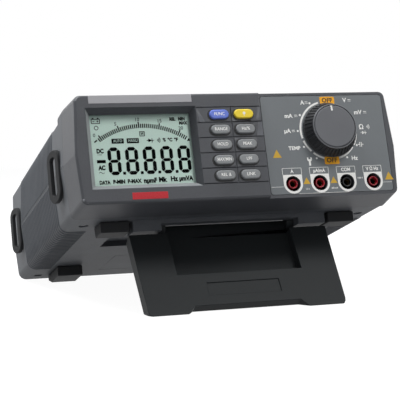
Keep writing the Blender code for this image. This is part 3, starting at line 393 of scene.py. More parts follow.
# %% [markdown]
# ## A finish for every piece of the frame
#
# Each piece of the frame already names the material that it is made of. The finish of the same name takes
# that material's place in its slots, so even the parts inside, which are seen only through a gap, are never
# bare.

# %% Repaint the frame
own_finish = {"tilt_stand": "stand_plastic", "battery_door": "case_plastic"}
for node_name, node_object in frame["nodes"].items():
    for slot in node_object.material_slots:
        wanted = own_finish.get(node_name, slot.material.name.split(".")[0])
        slot.material = finishes[wanted]
print("finished nodes:", len(frame["nodes"]))

# %% [markdown]
# ## Softened mouldings
#
# No moulded edge is truly sharp: the tool maker breaks every corner by half a millimetre, and that thin
# rounding is what catches the light. So each visible shell is copied from the frame, its loose triangles
# are welded and merged into clean faces, and a bevel of the right size runs round its edges. Grooves are
# cut before the bevel, so their lips are softened too.

# %% Copy, cut and soften a piece
def welded(node_name):
    """A copy of a frame piece, welded and with its flat faces made whole, in the instrument's millimetres."""
    mesh = frame["nodes"][node_name].data.copy()
    mesh.transform(BACK)
    work = bmesh.new()
    work.from_mesh(mesh)
    bmesh.ops.remove_doubles(work, verts=work.verts, dist=0.002)
    bmesh.ops.dissolve_limit(work, angle_limit=math.radians(0.6), verts=work.verts, edges=work.edges)
    work.to_mesh(mesh)
    work.free()
    return mesh


def scene_object(name, mesh):
    thing = bpy.data.objects.new(name, mesh)
    bpy.context.scene.collection.objects.link(thing)
    return thing


def plain_mesh(thing):
    """The mesh that an object shows with its modifiers, and the object itself cleared away."""
    shown = thing.evaluated_get(bpy.context.evaluated_depsgraph_get())
    mesh = bpy.data.meshes.new_from_object(shown)
    bpy.data.objects.remove(thing)
    return mesh


def cut(mesh, cutters):
    """The mesh with each cutter's space taken out of it."""
    thing = scene_object("cut_work", mesh)
    helpers = []
    for cutter in cutters:
        helper = scene_object("cutter", cutter)
        modifier = thing.modifiers.new("cut", "BOOLEAN")
        modifier.operation, modifier.solver, modifier.object = "DIFFERENCE", "EXACT", helper
        helpers.append(helper)
    mesh = plain_mesh(thing)
    for helper in helpers:
        bpy.data.objects.remove(helper)
    return mesh


def softened(mesh, width, segments=2, flat_from=None):
    """The mesh with its edges rounded. Faces of flat_from square millimetres or more can be kept truly flat."""
    thing = scene_object("soften_work", mesh)
    bevel = thing.modifiers.new("soften", "BEVEL")
    bevel.width, bevel.segments = width, segments
    bevel.limit_method, bevel.angle_limit = "ANGLE", math.radians(28)
    bevel.use_clamp_overlap = True
    mesh = plain_mesh(thing)
    mesh.shade_smooth()
    mesh.set_sharp_from_angle(angle=math.radians(40))
    if flat_from:
        for face in mesh.polygons:
            face.use_smooth = face.area < flat_from
        return mesh
    return faired(mesh)


def faired(mesh):
    """Large faces keep their flat look, and the small ones of a bevel do the turning."""
    thing = scene_object("fair_work", mesh)
    modifier = thing.modifiers.new("fair", "WEIGHTED_NORMAL")
    modifier.keep_sharp = True
    return plain_mesh(thing)


def smooth(mesh, angle=32):
    mesh.shade_smooth()
    mesh.set_sharp_from_angle(angle=math.radians(angle))
    return mesh


SLOTS = {material["slot"] for material in frame["record"]["materials"]}


def settle(name, mesh, finish, body, *stands_for, slot=None):
    """The last step for every piece: into its place and finish, and onto the body that it moves with."""
    mesh.materials.clear()
    mesh.materials.append(finishes[finish])
    mesh.polygons.foreach_set("material_index", [0] * len(mesh.polygons))
    mesh.transform(PLACE)
    mesh.update()
    thing = scene_object(name, mesh)
    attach(thing, body)
    (slot or finish) in SLOTS
    if stands_for:
        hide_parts(*stands_for)
    return thing


print("ready to soften")

# %% [markdown]
# ## Flat shapes
#
# Plates, cutters and printed marks all start from an outline. A flat curve in Blender fills itself, keeps
# holes open and gives itself a thickness, so it is the quickest way from an outline to a closed plate. The
# curve is drawn in X and Z as you see them on the face, and its thickness runs back along Y.

# %% Plates from outlines
TO_FACE = Matrix.Rotation(math.pi / 2, 4, "X")


def plate(outlines, front, back, bevel=0.0, steps=1):
    """A closed plate between two depths, through one or more outlines of (x, z). Inner ones are holes."""
    curve = bpy.data.curves.new("plate", "CURVE")
    curve.dimensions, curve.fill_mode = "2D", "BOTH"
    curve.extrude = (back - front) / 2 - bevel
    curve.bevel_depth, curve.bevel_resolution, curve.offset = bevel, steps, -bevel
    for outline in outlines:
        spline = curve.splines.new("POLY")
        spline.points.add(len(outline) - 1)
        for point, (x, z) in zip(spline.points, outline):
            point.co = (x, z, 0.0, 1.0)
        spline.use_cyclic_u = True
    mesh = plain_mesh(scene_object("plate_work", curve))
    mesh.transform(Matrix.Translation((0.0, (front + back) / 2, 0.0)) @ TO_FACE)
    work = bmesh.new()
    work.from_mesh(mesh)
    bmesh.ops.remove_doubles(work, verts=work.verts, dist=0.0005)
    bmesh.ops.recalc_face_normals(work, faces=work.faces)
    work.to_mesh(mesh)
    work.free()
    return mesh


def joined(meshes):
    """Several meshes as one."""
    work = bmesh.new()
    for mesh in meshes:
        work.from_mesh(mesh)
    whole = bpy.data.meshes.new("joined")
    work.to_mesh(whole)
    work.free()
    return whole


def arc(centre, radius, start, end, steps):
    """Points along an arc, in degrees clockwise from straight up."""
    turns = [math.radians(start + (end - start) * step / steps) for step in range(steps + 1)]
    return [(centre[0] + radius * math.sin(t), centre[1] + radius * math.cos(t)) for t in turns]


def disc(centre, radius, steps=32):
    return arc(centre, radius, 0, 360, steps)[:-1]


def oblong(centre, width, height, radius=0.0, steps=5):
    """A rectangle round a centre, with rounded corners."""
    x, z = centre
    radius = max(radius, 0.001)
    across, up = width / 2 - radius, height / 2 - radius
    outline = []
    for side_x, side_z, start in ((1, 1, 0), (1, -1, 90), (-1, -1, 180), (-1, 1, 270)):
        outline += arc((x + side_x * across, z + side_z * up), radius, start, start + 90, steps)
    return outline


def band(outline_centre, radius, width, start, end, steps=24):
    """A printed line of even width that follows an arc."""
    outer = arc(outline_centre, radius + width / 2, start, end, steps)
    return outer + arc(outline_centre, radius - width / 2, end, start, steps)


def stroke(start, end, width):
    """A straight printed line of even width."""
    a, b = Vector(start), Vector(end)
    side = Vector((a.y - b.y, b.x - a.x)).normalized() * width / 2
    return [tuple(a + side), tuple(b + side), tuple(b - side), tuple(a - side)]


print("a 10 mm disc has", len(disc((0, 0), 5)), "corners")

# %% [markdown]
# ## The front bezel
#
# The bezel is one moulding that closes the case like a lid. Its left part stands 3.5 mm proud and holds the
# display in a sloping recess and the keypad, where fine grooves draw a cell round each key and a dark ring,
# wider to the lower left, is a painted shadow of the key. The frame has the shell and its openings; the grooves
# are cut here, and then every edge is softened. A groove leaves large faces with many corners, which shade
# unevenly when they are smoothed, so those are kept flat.

# %% Grooves and painted key shadows
KEY_X, KEY_Z, KEY_ACROSS, KEY_DOWN = -13.6, 24.6, 17.6, 10.6
KEY_ROWS, GROOVE, GROOVE_DEEP = 5, 0.75, 0.7
GROOVE_LEFT, GROOVE_RIGHT = -29.2, 20.0
PAST = -1.0  # cutters start this far in front of the face

groove_heights = [KEY_Z + KEY_DOWN / 2 + 0.1 - KEY_DOWN * row for row in range(KEY_ROWS + 1)]
cutters = [
    plate([oblong(((GROOVE_LEFT + GROOVE_RIGHT) / 2, z), GROOVE_RIGHT - GROOVE_LEFT, GROOVE)], PAST, GROOVE_DEEP)
    for z in groove_heights
]
column_top, column_bottom = groove_heights[0], groove_heights[-1]
column_middle = ((KEY_X + KEY_ACROSS / 2), (column_top + column_bottom) / 2)
cutters.append(plate([oblong(column_middle, GROOVE, column_top - column_bottom)], PAST, GROOVE_DEEP))
KEY_PLACES = [
    (KEY_X + KEY_ACROSS * column, KEY_Z - KEY_DOWN * row) for column in (0, 1) for row in range(KEY_ROWS)
]

bezel = softened(cut(welded("front_bezel"), cutters), 0.35, 2, flat_from=30.0)
settle("bezel", bezel, "bezel_plastic", "instrument", "front_bezel")

# Painted shadow: a dark ring round each key, wider to the lower left, stands for the shadow that the key casts on
# the bezel.
key_wells = [
    plate([oblong((x - 0.35, z - 0.25), 15.8, 8.3, 4.1, 8), oblong((x, z), 13.9, 6.6, 3.2, 8)], -0.06, 0.06)
    for x, z in KEY_PLACES
]
settle("key_wells", joined(key_wells), "black_plastic", "instrument")
print("bezel faces:", len(bezel.polygons))

# %% Panel, shells, stand and feet
SOFT_PIECES = {
    # node: bevel (mm), segments, finish, body
    "function_panel": (0.2, 2, "panel_film", "instrument"),
    "upper_case": (0.5, 2, "case_plastic", "instrument"),
    "lower_case": (0.5, 2, "case_plastic", "instrument"),
    "rear_panel": (0.3, 1, "case_plastic", "instrument"),
    "tilt_stand": (0.7, 3, "stand_plastic", "stand"),
    "front_foot_left": (0.6, 2, "black_rubber", "instrument"),
    "front_foot_right": (0.6, 2, "black_rubber", "instrument"),
    "rear_foot_left": (0.6, 2, "black_rubber", "instrument"),
    "rear_foot_right": (0.6, 2, "black_rubber", "instrument"),
    "battery_door": (0.3, 1, "case_plastic", "instrument"),
    "side_guard_front_left": (0.5, 2, "black_rubber", "instrument"),
    "side_guard_front_right": (0.5, 2, "black_rubber", "instrument"),
    "side_guard_rear_left": (0.5, 2, "black_rubber", "instrument"),
    "side_guard_rear_right": (0.5, 2, "black_rubber", "instrument"),
    "knob_cap": (0.3, 2, "cap_plastic", "knob"),
}
for node_name, (width, segments, finish, body) in SOFT_PIECES.items():
    mesh = softened(welded(node_name), width, segments)
    settle("soft_" + node_name, mesh, finish, body, node_name)
    print(node_name, len(mesh.polygons), "faces")

# %% [markdown]
# ## Patterns that repeat
#
# Ribs, flutes, scale ticks and dots are one small shape many times over, which is what Geometry Nodes are
# for. The class below starts a tree with named inputs for its sizes, ends it in real mesh with a material,
# and runs it on a mesh. The result is a plain mesh again, so nothing live is left on the piece.

# %% A geometry tree with named inputs
class Pattern(Wiring):
    """A geometry node tree with named sizes. make() runs it on a mesh and gives back the plain result."""

    def __init__(self, name, **sizes):
        super().__init__(bpy.data.node_groups.new(name, "GeometryNodeTree"))
        face = self.tree.interface
        face.new_socket("Geometry", in_out="INPUT", socket_type="NodeSocketGeometry")
        kinds = {"whole": "NodeSocketInt", "number": "NodeSocketFloat", "vector": "NodeSocketVector"}
        self.names = {
            title: face.new_socket(title, in_out="INPUT", socket_type=kinds[kind]).identifier
            for title, kind in sizes.items()
        }
        face.new_socket("Geometry", in_out="OUTPUT", socket_type="NodeSocketGeometry")
        self.entry = self.tree.nodes.new("NodeGroupInput")

    def given(self, title):
        return Signal(self, self.entry.outputs[title])

    def close(self, geometry, finish):
        whole = self.node("GeometryNodeRealizeInstances", {}, {0: geometry})
        painted = self.node("GeometryNodeSetMaterial", {}, {0: whole, "Material": finishes[finish]})
        self.node("NodeGroupOutput", {}, {0: painted})

    def make(self, mesh, **sizes):
        thing = scene_object("pattern_work", mesh)
        modifier = thing.modifiers.new("pattern", "NODES")
        modifier.node_group = self.tree
        for title, value in sizes.items():
            modifier[self.names[title]] = value
        return outward(plain_mesh(thing))


def outward(mesh):
    work = bmesh.new()
    work.from_mesh(mesh)
    bmesh.ops.recalc_face_normals(work, faces=work.faces)
    work.to_mesh(mesh)
    work.free()
    return mesh


def path_mesh(points):
    mesh = bpy.data.meshes.new("path")
    mesh.from_pydata(points, [(step, step + 1) for step in range(len(points) - 1)], [])
    return mesh


print("patterns can be drawn")

# %% [markdown]
# ## Ribs along the case
#
# The sides of the case carry close upright ribs. They stiffen a thin wall, hide scratches and give a grip
# when the instrument is lifted. Each rib runs down the side, round the lower edge and a short way
# underneath, so the path of one rib is the outline of the case, and the pattern sweeps a round bar along
# it, half sunk in the wall, and repeats it along the depth.

# %% Sweep and repeat the ribs
HALF_WIDTH, CASE_TOP, CASE_BOTTOM = 117.0, 35.8, -37.2
TOP_RADIUS, BOTTOM_RADIUS = 3.4, 6.0
DRAFT = math.tan(math.radians(3.6))
RIB_RADIUS, RIB_SINK, RIB_PITCH, RIB_COUNT, RIB_START = 1.7, 0.95, 5.4, 26, 70.0

ribs_tree = Pattern("ribs", Radius="number", Count="whole", Pitch="vector", Start="vector")
spine = ribs_tree.node("GeometryNodeMeshToCurve", {}, {0: Signal(ribs_tree, ribs_tree.entry.outputs[0])})
bar = ribs_tree.node(
    "GeometryNodeCurvePrimitiveCircle", {}, {"Resolution": 10, "Radius": ribs_tree.given("Radius")}
)
rib = ribs_tree.node("GeometryNodeCurveToMesh", {}, {0: spine, 1: bar, "Fill Caps": True})
row = ribs_tree.node("GeometryNodeMeshLine", {"mode": "OFFSET"}, {
    "Count": ribs_tree.given("Count"),
    "Start Location": ribs_tree.given("Start"),
    "Offset": ribs_tree.given("Pitch"),
})
all_ribs = ribs_tree.node("GeometryNodeInstanceOnPoints", {}, {"Points": row, "Instance": rib})
ribs_tree.close(all_ribs, "case_plastic")


def side_at(z):
    return HALF_WIDTH - abs(z) * DRAFT - RIB_SINK


def rib_path(side, edge, radius, start, reach):
    """Down (or up) the side from the parting line, round the edge, and inwards as far as reach."""
    inner = radius - RIB_SINK
    sign = 1 if edge > 0 else -1
    turn_x, turn_z = side_at(edge) - inner, edge - sign * radius
    heights = [start + (turn_z - start) * step / 4 for step in range(5)]
    points = [(side_at(z), z) for z in heights]
    for step in range(1, 7):
        angle = math.radians(90 * step / 6)
        points.append((turn_x + inner * math.cos(angle), turn_z + sign * inner * math.sin(angle)))
    points.append((reach, edge - sign * RIB_SINK))
    return path_mesh([(side * x, 0.0, z) for x, z in points])


RIB_RUNS = (
    # edge, its radius, start by the parting line, reach over or under the case
    (CASE_BOTTOM, BOTTOM_RADIUS, -1.2, 97.0), (CASE_TOP, TOP_RADIUS, 1.2, 104.0),
)
rib_sets = []
for side in (-1, 1):
    for edge, radius, start, reach in RIB_RUNS:
        rib_sets.append(ribs_tree.make(
            rib_path(side, edge, radius, start, reach),
            Radius=RIB_RADIUS, Count=RIB_COUNT, Pitch=(0.0, RIB_PITCH, 0.0), Start=(0.0, RIB_START, 0.0),
        ))
ribs = smooth(joined(rib_sets), 50)
settle("case_ribs", ribs, "case_plastic", "instrument")
print("rib faces:", len(ribs.polygons))

# %% [markdown]
# ## The knob
#
# The rotary knob is a cone of black plastic with narrow flutes for the fingers and a grey disc let into its
# front. It turns with its own body, so all of it rides there: the fluted skirt stands for the plain one of
# the frame. The skirt is turned from a profile, one ridge is made as a thin wedge, and a pattern sets forty
# of them round the axis.

# %% Skirt, ridges and pointer
KNOB_BASE, KNOB_TOP, CAP_RADIUS = 19.6, 16.2, 15.0
KNOB_BASE_Y, KNOB_FRONT_Y = 3.1, -6.5
RIDGE_HIGH, RIDGE_COUNT, RIDGE_WIDE = 0.8, 42, 1.15


def turned(profile, centre, steps=64):
    """A shape turned about a line along Y through centre, from (radius, y) points round its section."""
    points, faces = [], []
    count = len(profile)
    for step in range(steps):
        angle = 2 * math.pi * step / steps
        points += [(centre[0] + r * math.sin(angle), y, centre[1] + r * math.cos(angle)) for r, y in profile]
        for index in range(count):
            a, b = step * count, (step + 1) % steps * count
            after = (index + 1) % count
            faces.append((a + index, a + after, b + after, b + index))
    mesh = bpy.data.meshes.new("turned")
    mesh.from_pydata(points, [], faces)
    work = bmesh.new()
    work.from_mesh(mesh)
    bmesh.ops.remove_doubles(work, verts=work.verts, dist=0.0005)
    bmesh.ops.recalc_face_normals(work, faces=work.faces)
    work.to_mesh(mesh)
    work.free()
    return mesh


skirt = turned([
    (CAP_RADIUS + 0.3, KNOB_FRONT_Y + 0.2), (KNOB_TOP - 0.5, KNOB_FRONT_Y),
    (KNOB_TOP - 0.1, KNOB_FRONT_Y + 0.25), (KNOB_TOP, KNOB_FRONT_Y + 0.9),
    (KNOB_TOP + 0.05, KNOB_FRONT_Y + 1.3), (KNOB_TOP - 0.45, KNOB_FRONT_Y + 1.5),
    (KNOB_BASE - RIDGE_HIGH, KNOB_BASE_Y - 1.0), (KNOB_BASE, KNOB_BASE_Y - 0.9), (KNOB_BASE, KNOB_BASE_Y),
    (3.4, KNOB_BASE_Y), (3.4, KNOB_FRONT_Y + 1.8), (CAP_RADIUS + 0.3, KNOB_FRONT_Y + 1.8),
], (0, 0))

ridge_tree = Pattern("ridges", Count="whole")
count = ridge_tree.given("Count")
hub = ridge_tree.node("GeometryNodeMeshLine", {}, {"Count": count, "Offset": (0.0, 0.0, 0.0)})
index = ridge_tree.node("GeometryNodeInputIndex")
spin = ridge_tree.node("ShaderNodeCombineXYZ", {}, {"Y": index * (2 * math.pi) / count})
ridge_tree.close(
    ridge_tree.node("GeometryNodeInstanceOnPoints", {}, {
        "Points": hub, "Instance": Signal(ridge_tree, ridge_tree.entry.outputs[0]), "Rotation": spin,
    }),
    "black_plastic",
)
high, wide = RIDGE_HIGH + 0.6, RIDGE_WIDE / 2
front, back_y = KNOB_FRONT_Y + 1.0, KNOB_BASE_Y - 0.4
ridge_points = [
    (-wide, back_y, KNOB_BASE - high), (wide, back_y, KNOB_BASE - high),
    (wide * 0.35, back_y, KNOB_BASE), (-wide * 0.35, back_y, KNOB_BASE),
    (-wide, front, KNOB_TOP - high), (wide, front, KNOB_TOP - high),
    (wide * 0.35, front, KNOB_TOP), (-wide * 0.35, front, KNOB_TOP),
]
ridge = bpy.data.meshes.new("ridge")
ridge.from_pydata(ridge_points, [], [
    (0, 1, 2, 3), (4, 7, 6, 5), (0, 4, 5, 1), (1, 5, 6, 2), (2, 6, 7, 3), (3, 7, 4, 0),
])
ridges = ridge_tree.make(ridge, Count=RIDGE_COUNT)
knob = joined([skirt, ridges])
knob.transform(Matrix.Translation((KNOB_X, 0.0, KNOB_Z)))
settle("fluted_knob", smooth(knob, 30), "knob_plastic", "knob", "rotary_knob", slot="black_plastic")

CAP_FRONT_Y = KNOB_FRONT_Y - 0.3
pointer = plate([oblong((0.0, 13.0), 1.3, 3.7, 0.2)], CAP_FRONT_Y - 0.06, CAP_FRONT_Y + 0.3)
pointer.transform(Matrix.Translation((KNOB_X, 0.0, KNOB_Z)) @ Matrix.Rotation(math.radians(-4), 4, "Y"))
settle("knob_pointer", pointer, "white_print", "knob")
cap_rim = turned([
    (CAP_RADIUS + 0.28, KNOB_FRONT_Y + 0.4), (CAP_RADIUS + 0.28, KNOB_FRONT_Y - 0.08),
    (KNOB_TOP - 0.35, KNOB_FRONT_Y - 0.08), (KNOB_TOP - 0.1, KNOB_FRONT_Y + 0.2),
    (KNOB_TOP - 0.1, KNOB_FRONT_Y + 0.4),
], (KNOB_X, KNOB_Z))
settle("knob_rim", smooth(cap_rim), "cap_plastic", "knob")
print("knob faces:", len(knob.polygons))

# %% [markdown]
# ## Lettering
#
# The dial, keys and terminals are marked in plain white print with the ordinary names of what an
# electrician measures. Ink is only a few hundredths of a millimetre thick, but on a mesh it needs a
# thickness of its own, or it would flicker against the plastic, so each letter is a very thin plate. A
# helper turns words into meshes, and one print run becomes one piece.

# %% Words as thin plates
PRINT_THICK = 0.12


def words(text, centre, height, y, bold=0.02, squeeze=1.0, lean_degrees=0.0):
    """Text standing on the face, its front at depth y. height is that of a capital letter."""
    curve = bpy.data.curves.new("words", "FONT")
    curve.body = text
    curve.align_x, curve.align_y = "CENTER", "CENTER"
    curve.size = height / 0.69
    curve.offset = bold * height
    curve.extrude = PRINT_THICK / 2
    curve.resolution_u = 3
    mesh = plain_mesh(scene_object("words_work", curve))
    mesh.transform(Matrix.Diagonal((squeeze, 1.0, 1.0, 1.0)))
    mesh.transform(Matrix.Rotation(math.radians(lean_degrees), 4, "Z"))
    mesh.transform(Matrix.Translation((centre[0], y + PRINT_THICK / 2, centre[1])) @ TO_FACE)
    return mesh


def mark(*outlines, y):
    """A printed shape with its front at depth y."""
    return plate(outlines, y, y + PRINT_THICK)


PANEL_INK = PANEL_Y - 0.05
print("a letter of 2.4 mm has", len(words("A", (0, 0), 2.4, 0).polygons), "faces")

# %% [markdown]
# ## Printing the function panel
#
# A white ring runs round the knob, broken where the groups of ranges change, with a dot at each position of
# the switch. The two off positions have an orange plate each. Below, each terminal sits in a white
# tombstone with its name in a fine box above it, and small gold triangles stand between them.

# %% Ring, dots and names
DIAL = (KNOB_X - 0.9, KNOB_Z)
RING_RADIUS, RING_WIDE, DOT_RADIUS, DOT_SIZE = 20.7, 1.35, 22.9, 0.75
RING_PARTS = ((194, 220), (225, 250), (255, 346), (98, 122), (127, 165))

panel_print = [mark(band(DIAL, RING_RADIUS, RING_WIDE, start, end), y=PANEL_INK) for start, end in RING_PARTS]


def on_panel(*outlines):
    panel_print.append(mark(*outlines, y=PANEL_INK))


dots_tree = Pattern("dots", Size="number")
dot_shape = dots_tree.node(
    "GeometryNodeMeshCylinder", {}, {"Vertices": 16, "Radius": dots_tree.given("Size"), "Depth": PRINT_THICK}
)
on_face = dots_tree.node("FunctionNodeInputVector", {"vector": (math.pi / 2, 0.0, 0.0)})
dots_tree.close(
    dots_tree.node("GeometryNodeInstanceOnPoints", {}, {
        "Points": Signal(dots_tree, dots_tree.entry.outputs[0]), "Instance": dot_shape, "Rotation": on_face,
    }),
    "white_print",
)
dot_angles = [30 * step for step in range(12) if step not in (0, 1, 2, 3, 6)]
dot_mesh = bpy.data.meshes.new("dot_places")
dot_places = [arc(DIAL, DOT_RADIUS, angle, angle, 1)[0] for angle in dot_angles]
dot_mesh.from_pydata([(x, PANEL_INK + PRINT_THICK / 2, z) for x, z in dot_places], [], [])
panel_print.append(dots_tree.make(dot_mesh, Size=DOT_SIZE))

DIAL_WORDS = (
    ("V", (81.6, 34.2), 2.9), ("mV", (90.6, 25.2), 2.9), ("Ω", (91.7, 14.4), 3.2),
    ("Hz", (83.4, -7.9), 2.8), ("TEMP", (39.6, 0.4), 2.5), ("µA", (35.9, 12.8), 2.8),
    ("mA", (38.1, 23.6), 2.8), ("A", (49.6, 33.0), 2.8),
)
panel_print += [words(text, place, height, PANEL_INK, 0.045) for text, place, height in DIAL_WORDS]
for x, z in ((85.2, 34.2), (96.0, 25.2), (40.4, 12.8), (43.6, 23.6), (52.6, 33.0)):
    on_panel(stroke((x - 1.1, z + 0.55), (x + 1.1, z + 0.55), 0.4))
    panel_print += [
        mark(stroke((x - 1.1 + 0.85 * part, z - 0.55), (x - 0.6 + 0.85 * part, z - 0.55), 0.4), y=PANEL_INK)
        for part in range(3)
    ]
print("dial marks:", len(panel_print))

# %% Signs for capacitance, diode, buzzer and adapter
def diode(x, z, size, y):
    body = [(x - size, z + size * 0.75), (x - size, z - size * 0.75), (x + size * 0.4, z)]
    return [
        mark(body, y=y),
        mark(stroke((x + size * 0.5, z - size * 0.8), (x + size * 0.5, z + size * 0.8), 0.4), y=y),
        mark(stroke((x - size * 1.7, z), (x + size * 1.2, z), 0.35), y=y),
    ]


def buzzer(x, z, y):
    return [mark(band((x - 1.2, z), radius, 0.38, 48, 132, 8), y=y) for radius in (0.8, 1.7, 2.6)]


panel_print += diode(93.4, 10.4, 1.6, PANEL_INK) + buzzer(96.4, 14.6, PANEL_INK)
for shift in (-0.6, 0.6):
    on_panel(stroke((89.4 + shift, 3.6), (89.4 + shift, 0.2), 0.55))
    on_panel(stroke((89.4 + shift, 1.9), (89.4 + shift * 3.6, 1.9), 0.5))
jaw = [
    (47.9, -6.4), (47.9, -8.3), (48.9, -9.3), (48.9, -12.2), (50.3, -12.2), (50.3, -9.3),
    (51.3, -8.3), (51.3, -6.4), (50.4, -6.4), (50.4, -7.7), (48.8, -7.7), (48.8, -6.4),
]
on_panel(jaw)
print("signs drawn")

# %% Terminals
JACK_X, JACK_PITCH, JACK_Z = 35.5, 20.0, -24.5
JACK_WORDS = ("A", "µA/mA", "COM", "V Ω Hz")
TOMB_HALF, TOMB_TOP, LABEL_TOP, CUP_RADIUS = 6.95, -18.2, -13.6, 5.3
jack_places = [(JACK_X + JACK_PITCH * number, JACK_Z) for number in range(4)]

for text, (x, z) in zip(JACK_WORDS, jack_places):
    tomb = [(x - TOMB_HALF, TOMB_TOP), *arc((x, z), TOMB_HALF, 270, 90, 30), (x + TOMB_HALF, TOMB_TOP)]
    on_panel(tomb, disc((x, z), CUP_RADIUS + 0.1))
    low, high = TOMB_TOP + 0.15, LABEL_TOP
    corners = [(x - TOMB_HALF, low), (x - TOMB_HALF, high), (x + TOMB_HALF, high), (x + TOMB_HALF, low)]
    panel_print += [mark(stroke(a, b, 0.3), y=PANEL_INK) for a, b in zip(corners, corners[1:])]
    panel_print.append(words(text, (x, (low + high) / 2 - 0.1), 2.45, PANEL_INK, 0.045, squeeze=0.85))
RULES = (((19.4, -26.5), (28.2, -26.5)), ((102.6, -25.8), (109.2, -25.8)), ((39.0, -31.7), (76.0, -31.7)))
panel_print += [mark(stroke(a, b, 0.25), y=PANEL_INK) for a, b in RULES]
for text, x in (("10 A", 45.5), ("400 mA", 65.5)):
    panel_print.append(words(text, (x, -28.6), 1.15, PANEL_INK, squeeze=0.9))
panel_print.append(words("1000 V", (85.5, -22.2), 1.15, PANEL_INK, squeeze=0.9))
white = joined(panel_print)
settle("panel_print", white, "white_print", "instrument")

gold, dark = [], []
for x, z, size in ((26.2, -3.2, 3.2), (45.5, -22.9, 2.6), (65.5, -22.9, 2.6), (107.6, -21.4, 3.2)):
    base, tip_z = z - size * 0.85, z + size * 0.95
    gold.append(mark([(x - size, base), (x + size, base), (x, tip_z)], y=PANEL_INK))
settle("gold_marks", joined(gold), "gold_print", "instrument")

OFF_PLACES = ((KNOB_X + 1.0, 34.4), (KNOB_X - 1.2, -9.0))
plates = [plate([oblong(place, 11.0, 5.4, 1.0)], PANEL_INK - 0.05, PANEL_INK + 0.1) for place in OFF_PLACES]
settle("off_plates", joined(plates), "orange_print", "instrument")
dark += [words("OFF", place, 3.1, PANEL_INK - 0.12, bold=0.03) for place in OFF_PLACES]
settle("dark_marks", joined(dark), "dark_print", "instrument")
print("panel print faces:", len(white.polygons))

# %% [markdown]
# ## Sleeves in the terminals
#
# Each terminal is a deep black cup with a plastic sleeve standing in it, red for the live inputs and black
# for the common one, and a brass tube inside that grips the plug. The frame has them all; the sleeves get a
# rounded lip, as they are what a hand and a light both find first.

# %% Soften sleeves and keys
for name in ("amp", "milliamp", "common", "volt"):
    finish = "black_plastic" if name == "common" else "red_plastic"
    node_name = "jack_sleeve_" + name
    settle("soft_" + node_name, softened(welded(node_name), 0.3, 2), finish, "instrument", node_name)

MOUTH_Y, CONTACT_Y = PANEL_Y + 0.5, PANEL_Y + 2.5
mouth = [
    (3.3, MOUTH_Y + 0.3), (3.3, MOUTH_Y - 0.1), (3.0, MOUTH_Y - 0.3), (2.6, MOUTH_Y - 0.1),
    (2.1, MOUTH_Y + 1.2), (2.1, CONTACT_Y - 0.1), (2.4, CONTACT_Y - 0.1), (2.6, MOUTH_Y + 0.3),
]
collars = [turned(mouth, place, 40) for place in jack_places]
common = collars.pop(2)
settle("jack_mouths_live", smooth(joined(collars)), "red_plastic", "instrument")
settle("jack_mouth_common", smooth(common), "black_plastic", "instrument")
print("four sleeves")

# %% [markdown]
# ## Keys
#
# Ten silicone-backed keys, each on its own body, move straight in by a millimetre and a half. Their caps
# are moulded like lozenges with a soft crown, and each legend is printed on its key, so it has to ride with
# it.

# %% Caps and legends
KEY_FACE_Y = -1.8
KEY_LEGENDS = {
    "function": "FUNC", "range": "RANGE", "hold": "HOLD", "max_min": "MAX/MIN", "relative": "REL Δ",
    "backlight": "", "frequency": "Hz/%", "peak": "PEAK", "filter": "LPF", "link": "LINK",
}
for (name, legend), place in zip(KEY_LEGENDS.items(), KEY_PLACES):
    node_name = "key_" + name
    finish = {"function": "blue_key", "backlight": "yellow_key"}.get(name, "grey_key")
    cap = softened(welded(node_name), 0.55, 3)
    settle("soft_" + node_name, cap, finish, node_name, node_name)
    if legend:
        ink = words(legend, place, 2.15, KEY_FACE_Y - 0.06, squeeze=0.78 if len(legend) > 5 else 0.9)
    else:
        bulb = mark(disc((place[0], place[1] + 0.3), 1.0, 16), y=KEY_FACE_Y - 0.06)
        base = mark(oblong((place[0], place[1] - 1.2), 0.9, 0.5), y=KEY_FACE_Y - 0.06)
        ink = joined([bulb, base])
    settle("legend_" + name, ink, "white_print", node_name)
print("keys:", len(KEY_LEGENDS))

# %% [markdown]
# ## The display
#
# A liquid crystal display is a pale green-grey glass on which every segment that could ever be lit is
# already drawn. Here all of them show, as in the moment after switching on: five digits with their points,
# a bar graph on an arc, and small signs for units and modes. A digit is seven mitred bars drawn by one
# rule, the bar graph is a pattern of ticks on points along the arc, and all of it is a thin ink on the
# glass.

# %% Digits
LCD_LEFT, LCD_TOP, LCD_FACE_Y = -102.0, 27.6, 7.6
INK_Y = LCD_FACE_Y - 0.14
DIGIT_WIDE, DIGIT_HIGH, DIGIT_PITCH, BAR = 8.7, 18.9, 12.05, 2.45
DIGIT_LEFT, DIGIT_TOP = 10.7, 21.8


def lcd(across, down):
    """A point of the display, from its top left corner."""
    return (LCD_LEFT + across, LCD_TOP - down)


def bar_segment(start, end, width):
    """One mitred bar of a digit."""
    a, b = Vector(start), Vector(end)
    along = (b - a).normalized()
    side = Vector((-along.y, along.x)) * width / 2
    nib = along * width / 2
    a, b = a + along * 0.22, b - along * 0.22
    return [tuple(p) for p in (a, a + nib + side, b - nib + side, b, b - nib - side, a + nib - side)]


def digit(left, top):
    w, h, t = DIGIT_WIDE - BAR, (DIGIT_HIGH - BAR) / 2, BAR
    x, y = left + t / 2, top + t / 2
    ends = (
        ((0, 0), (w, 0)), ((0, h), (w, h)), ((0, 2 * h), (w, 2 * h)),
        ((0, 0), (0, h)), ((0, h), (0, 2 * h)), ((w, 0), (w, h)), ((w, h), (w, 2 * h)),
    )
    shapes = []
    for a, b in ends:
        width = t * (0.85 if a[1] == b[1] == h else 1.0)
        shapes.append(bar_segment(lcd(x + a[0], y + a[1]), lcd(x + b[0], y + b[1]), width))
    return [mark(shape, y=INK_Y) for shape in shapes]


ink = []


def on_glass(*outlines):
    ink.append(mark(*outlines, y=INK_Y))


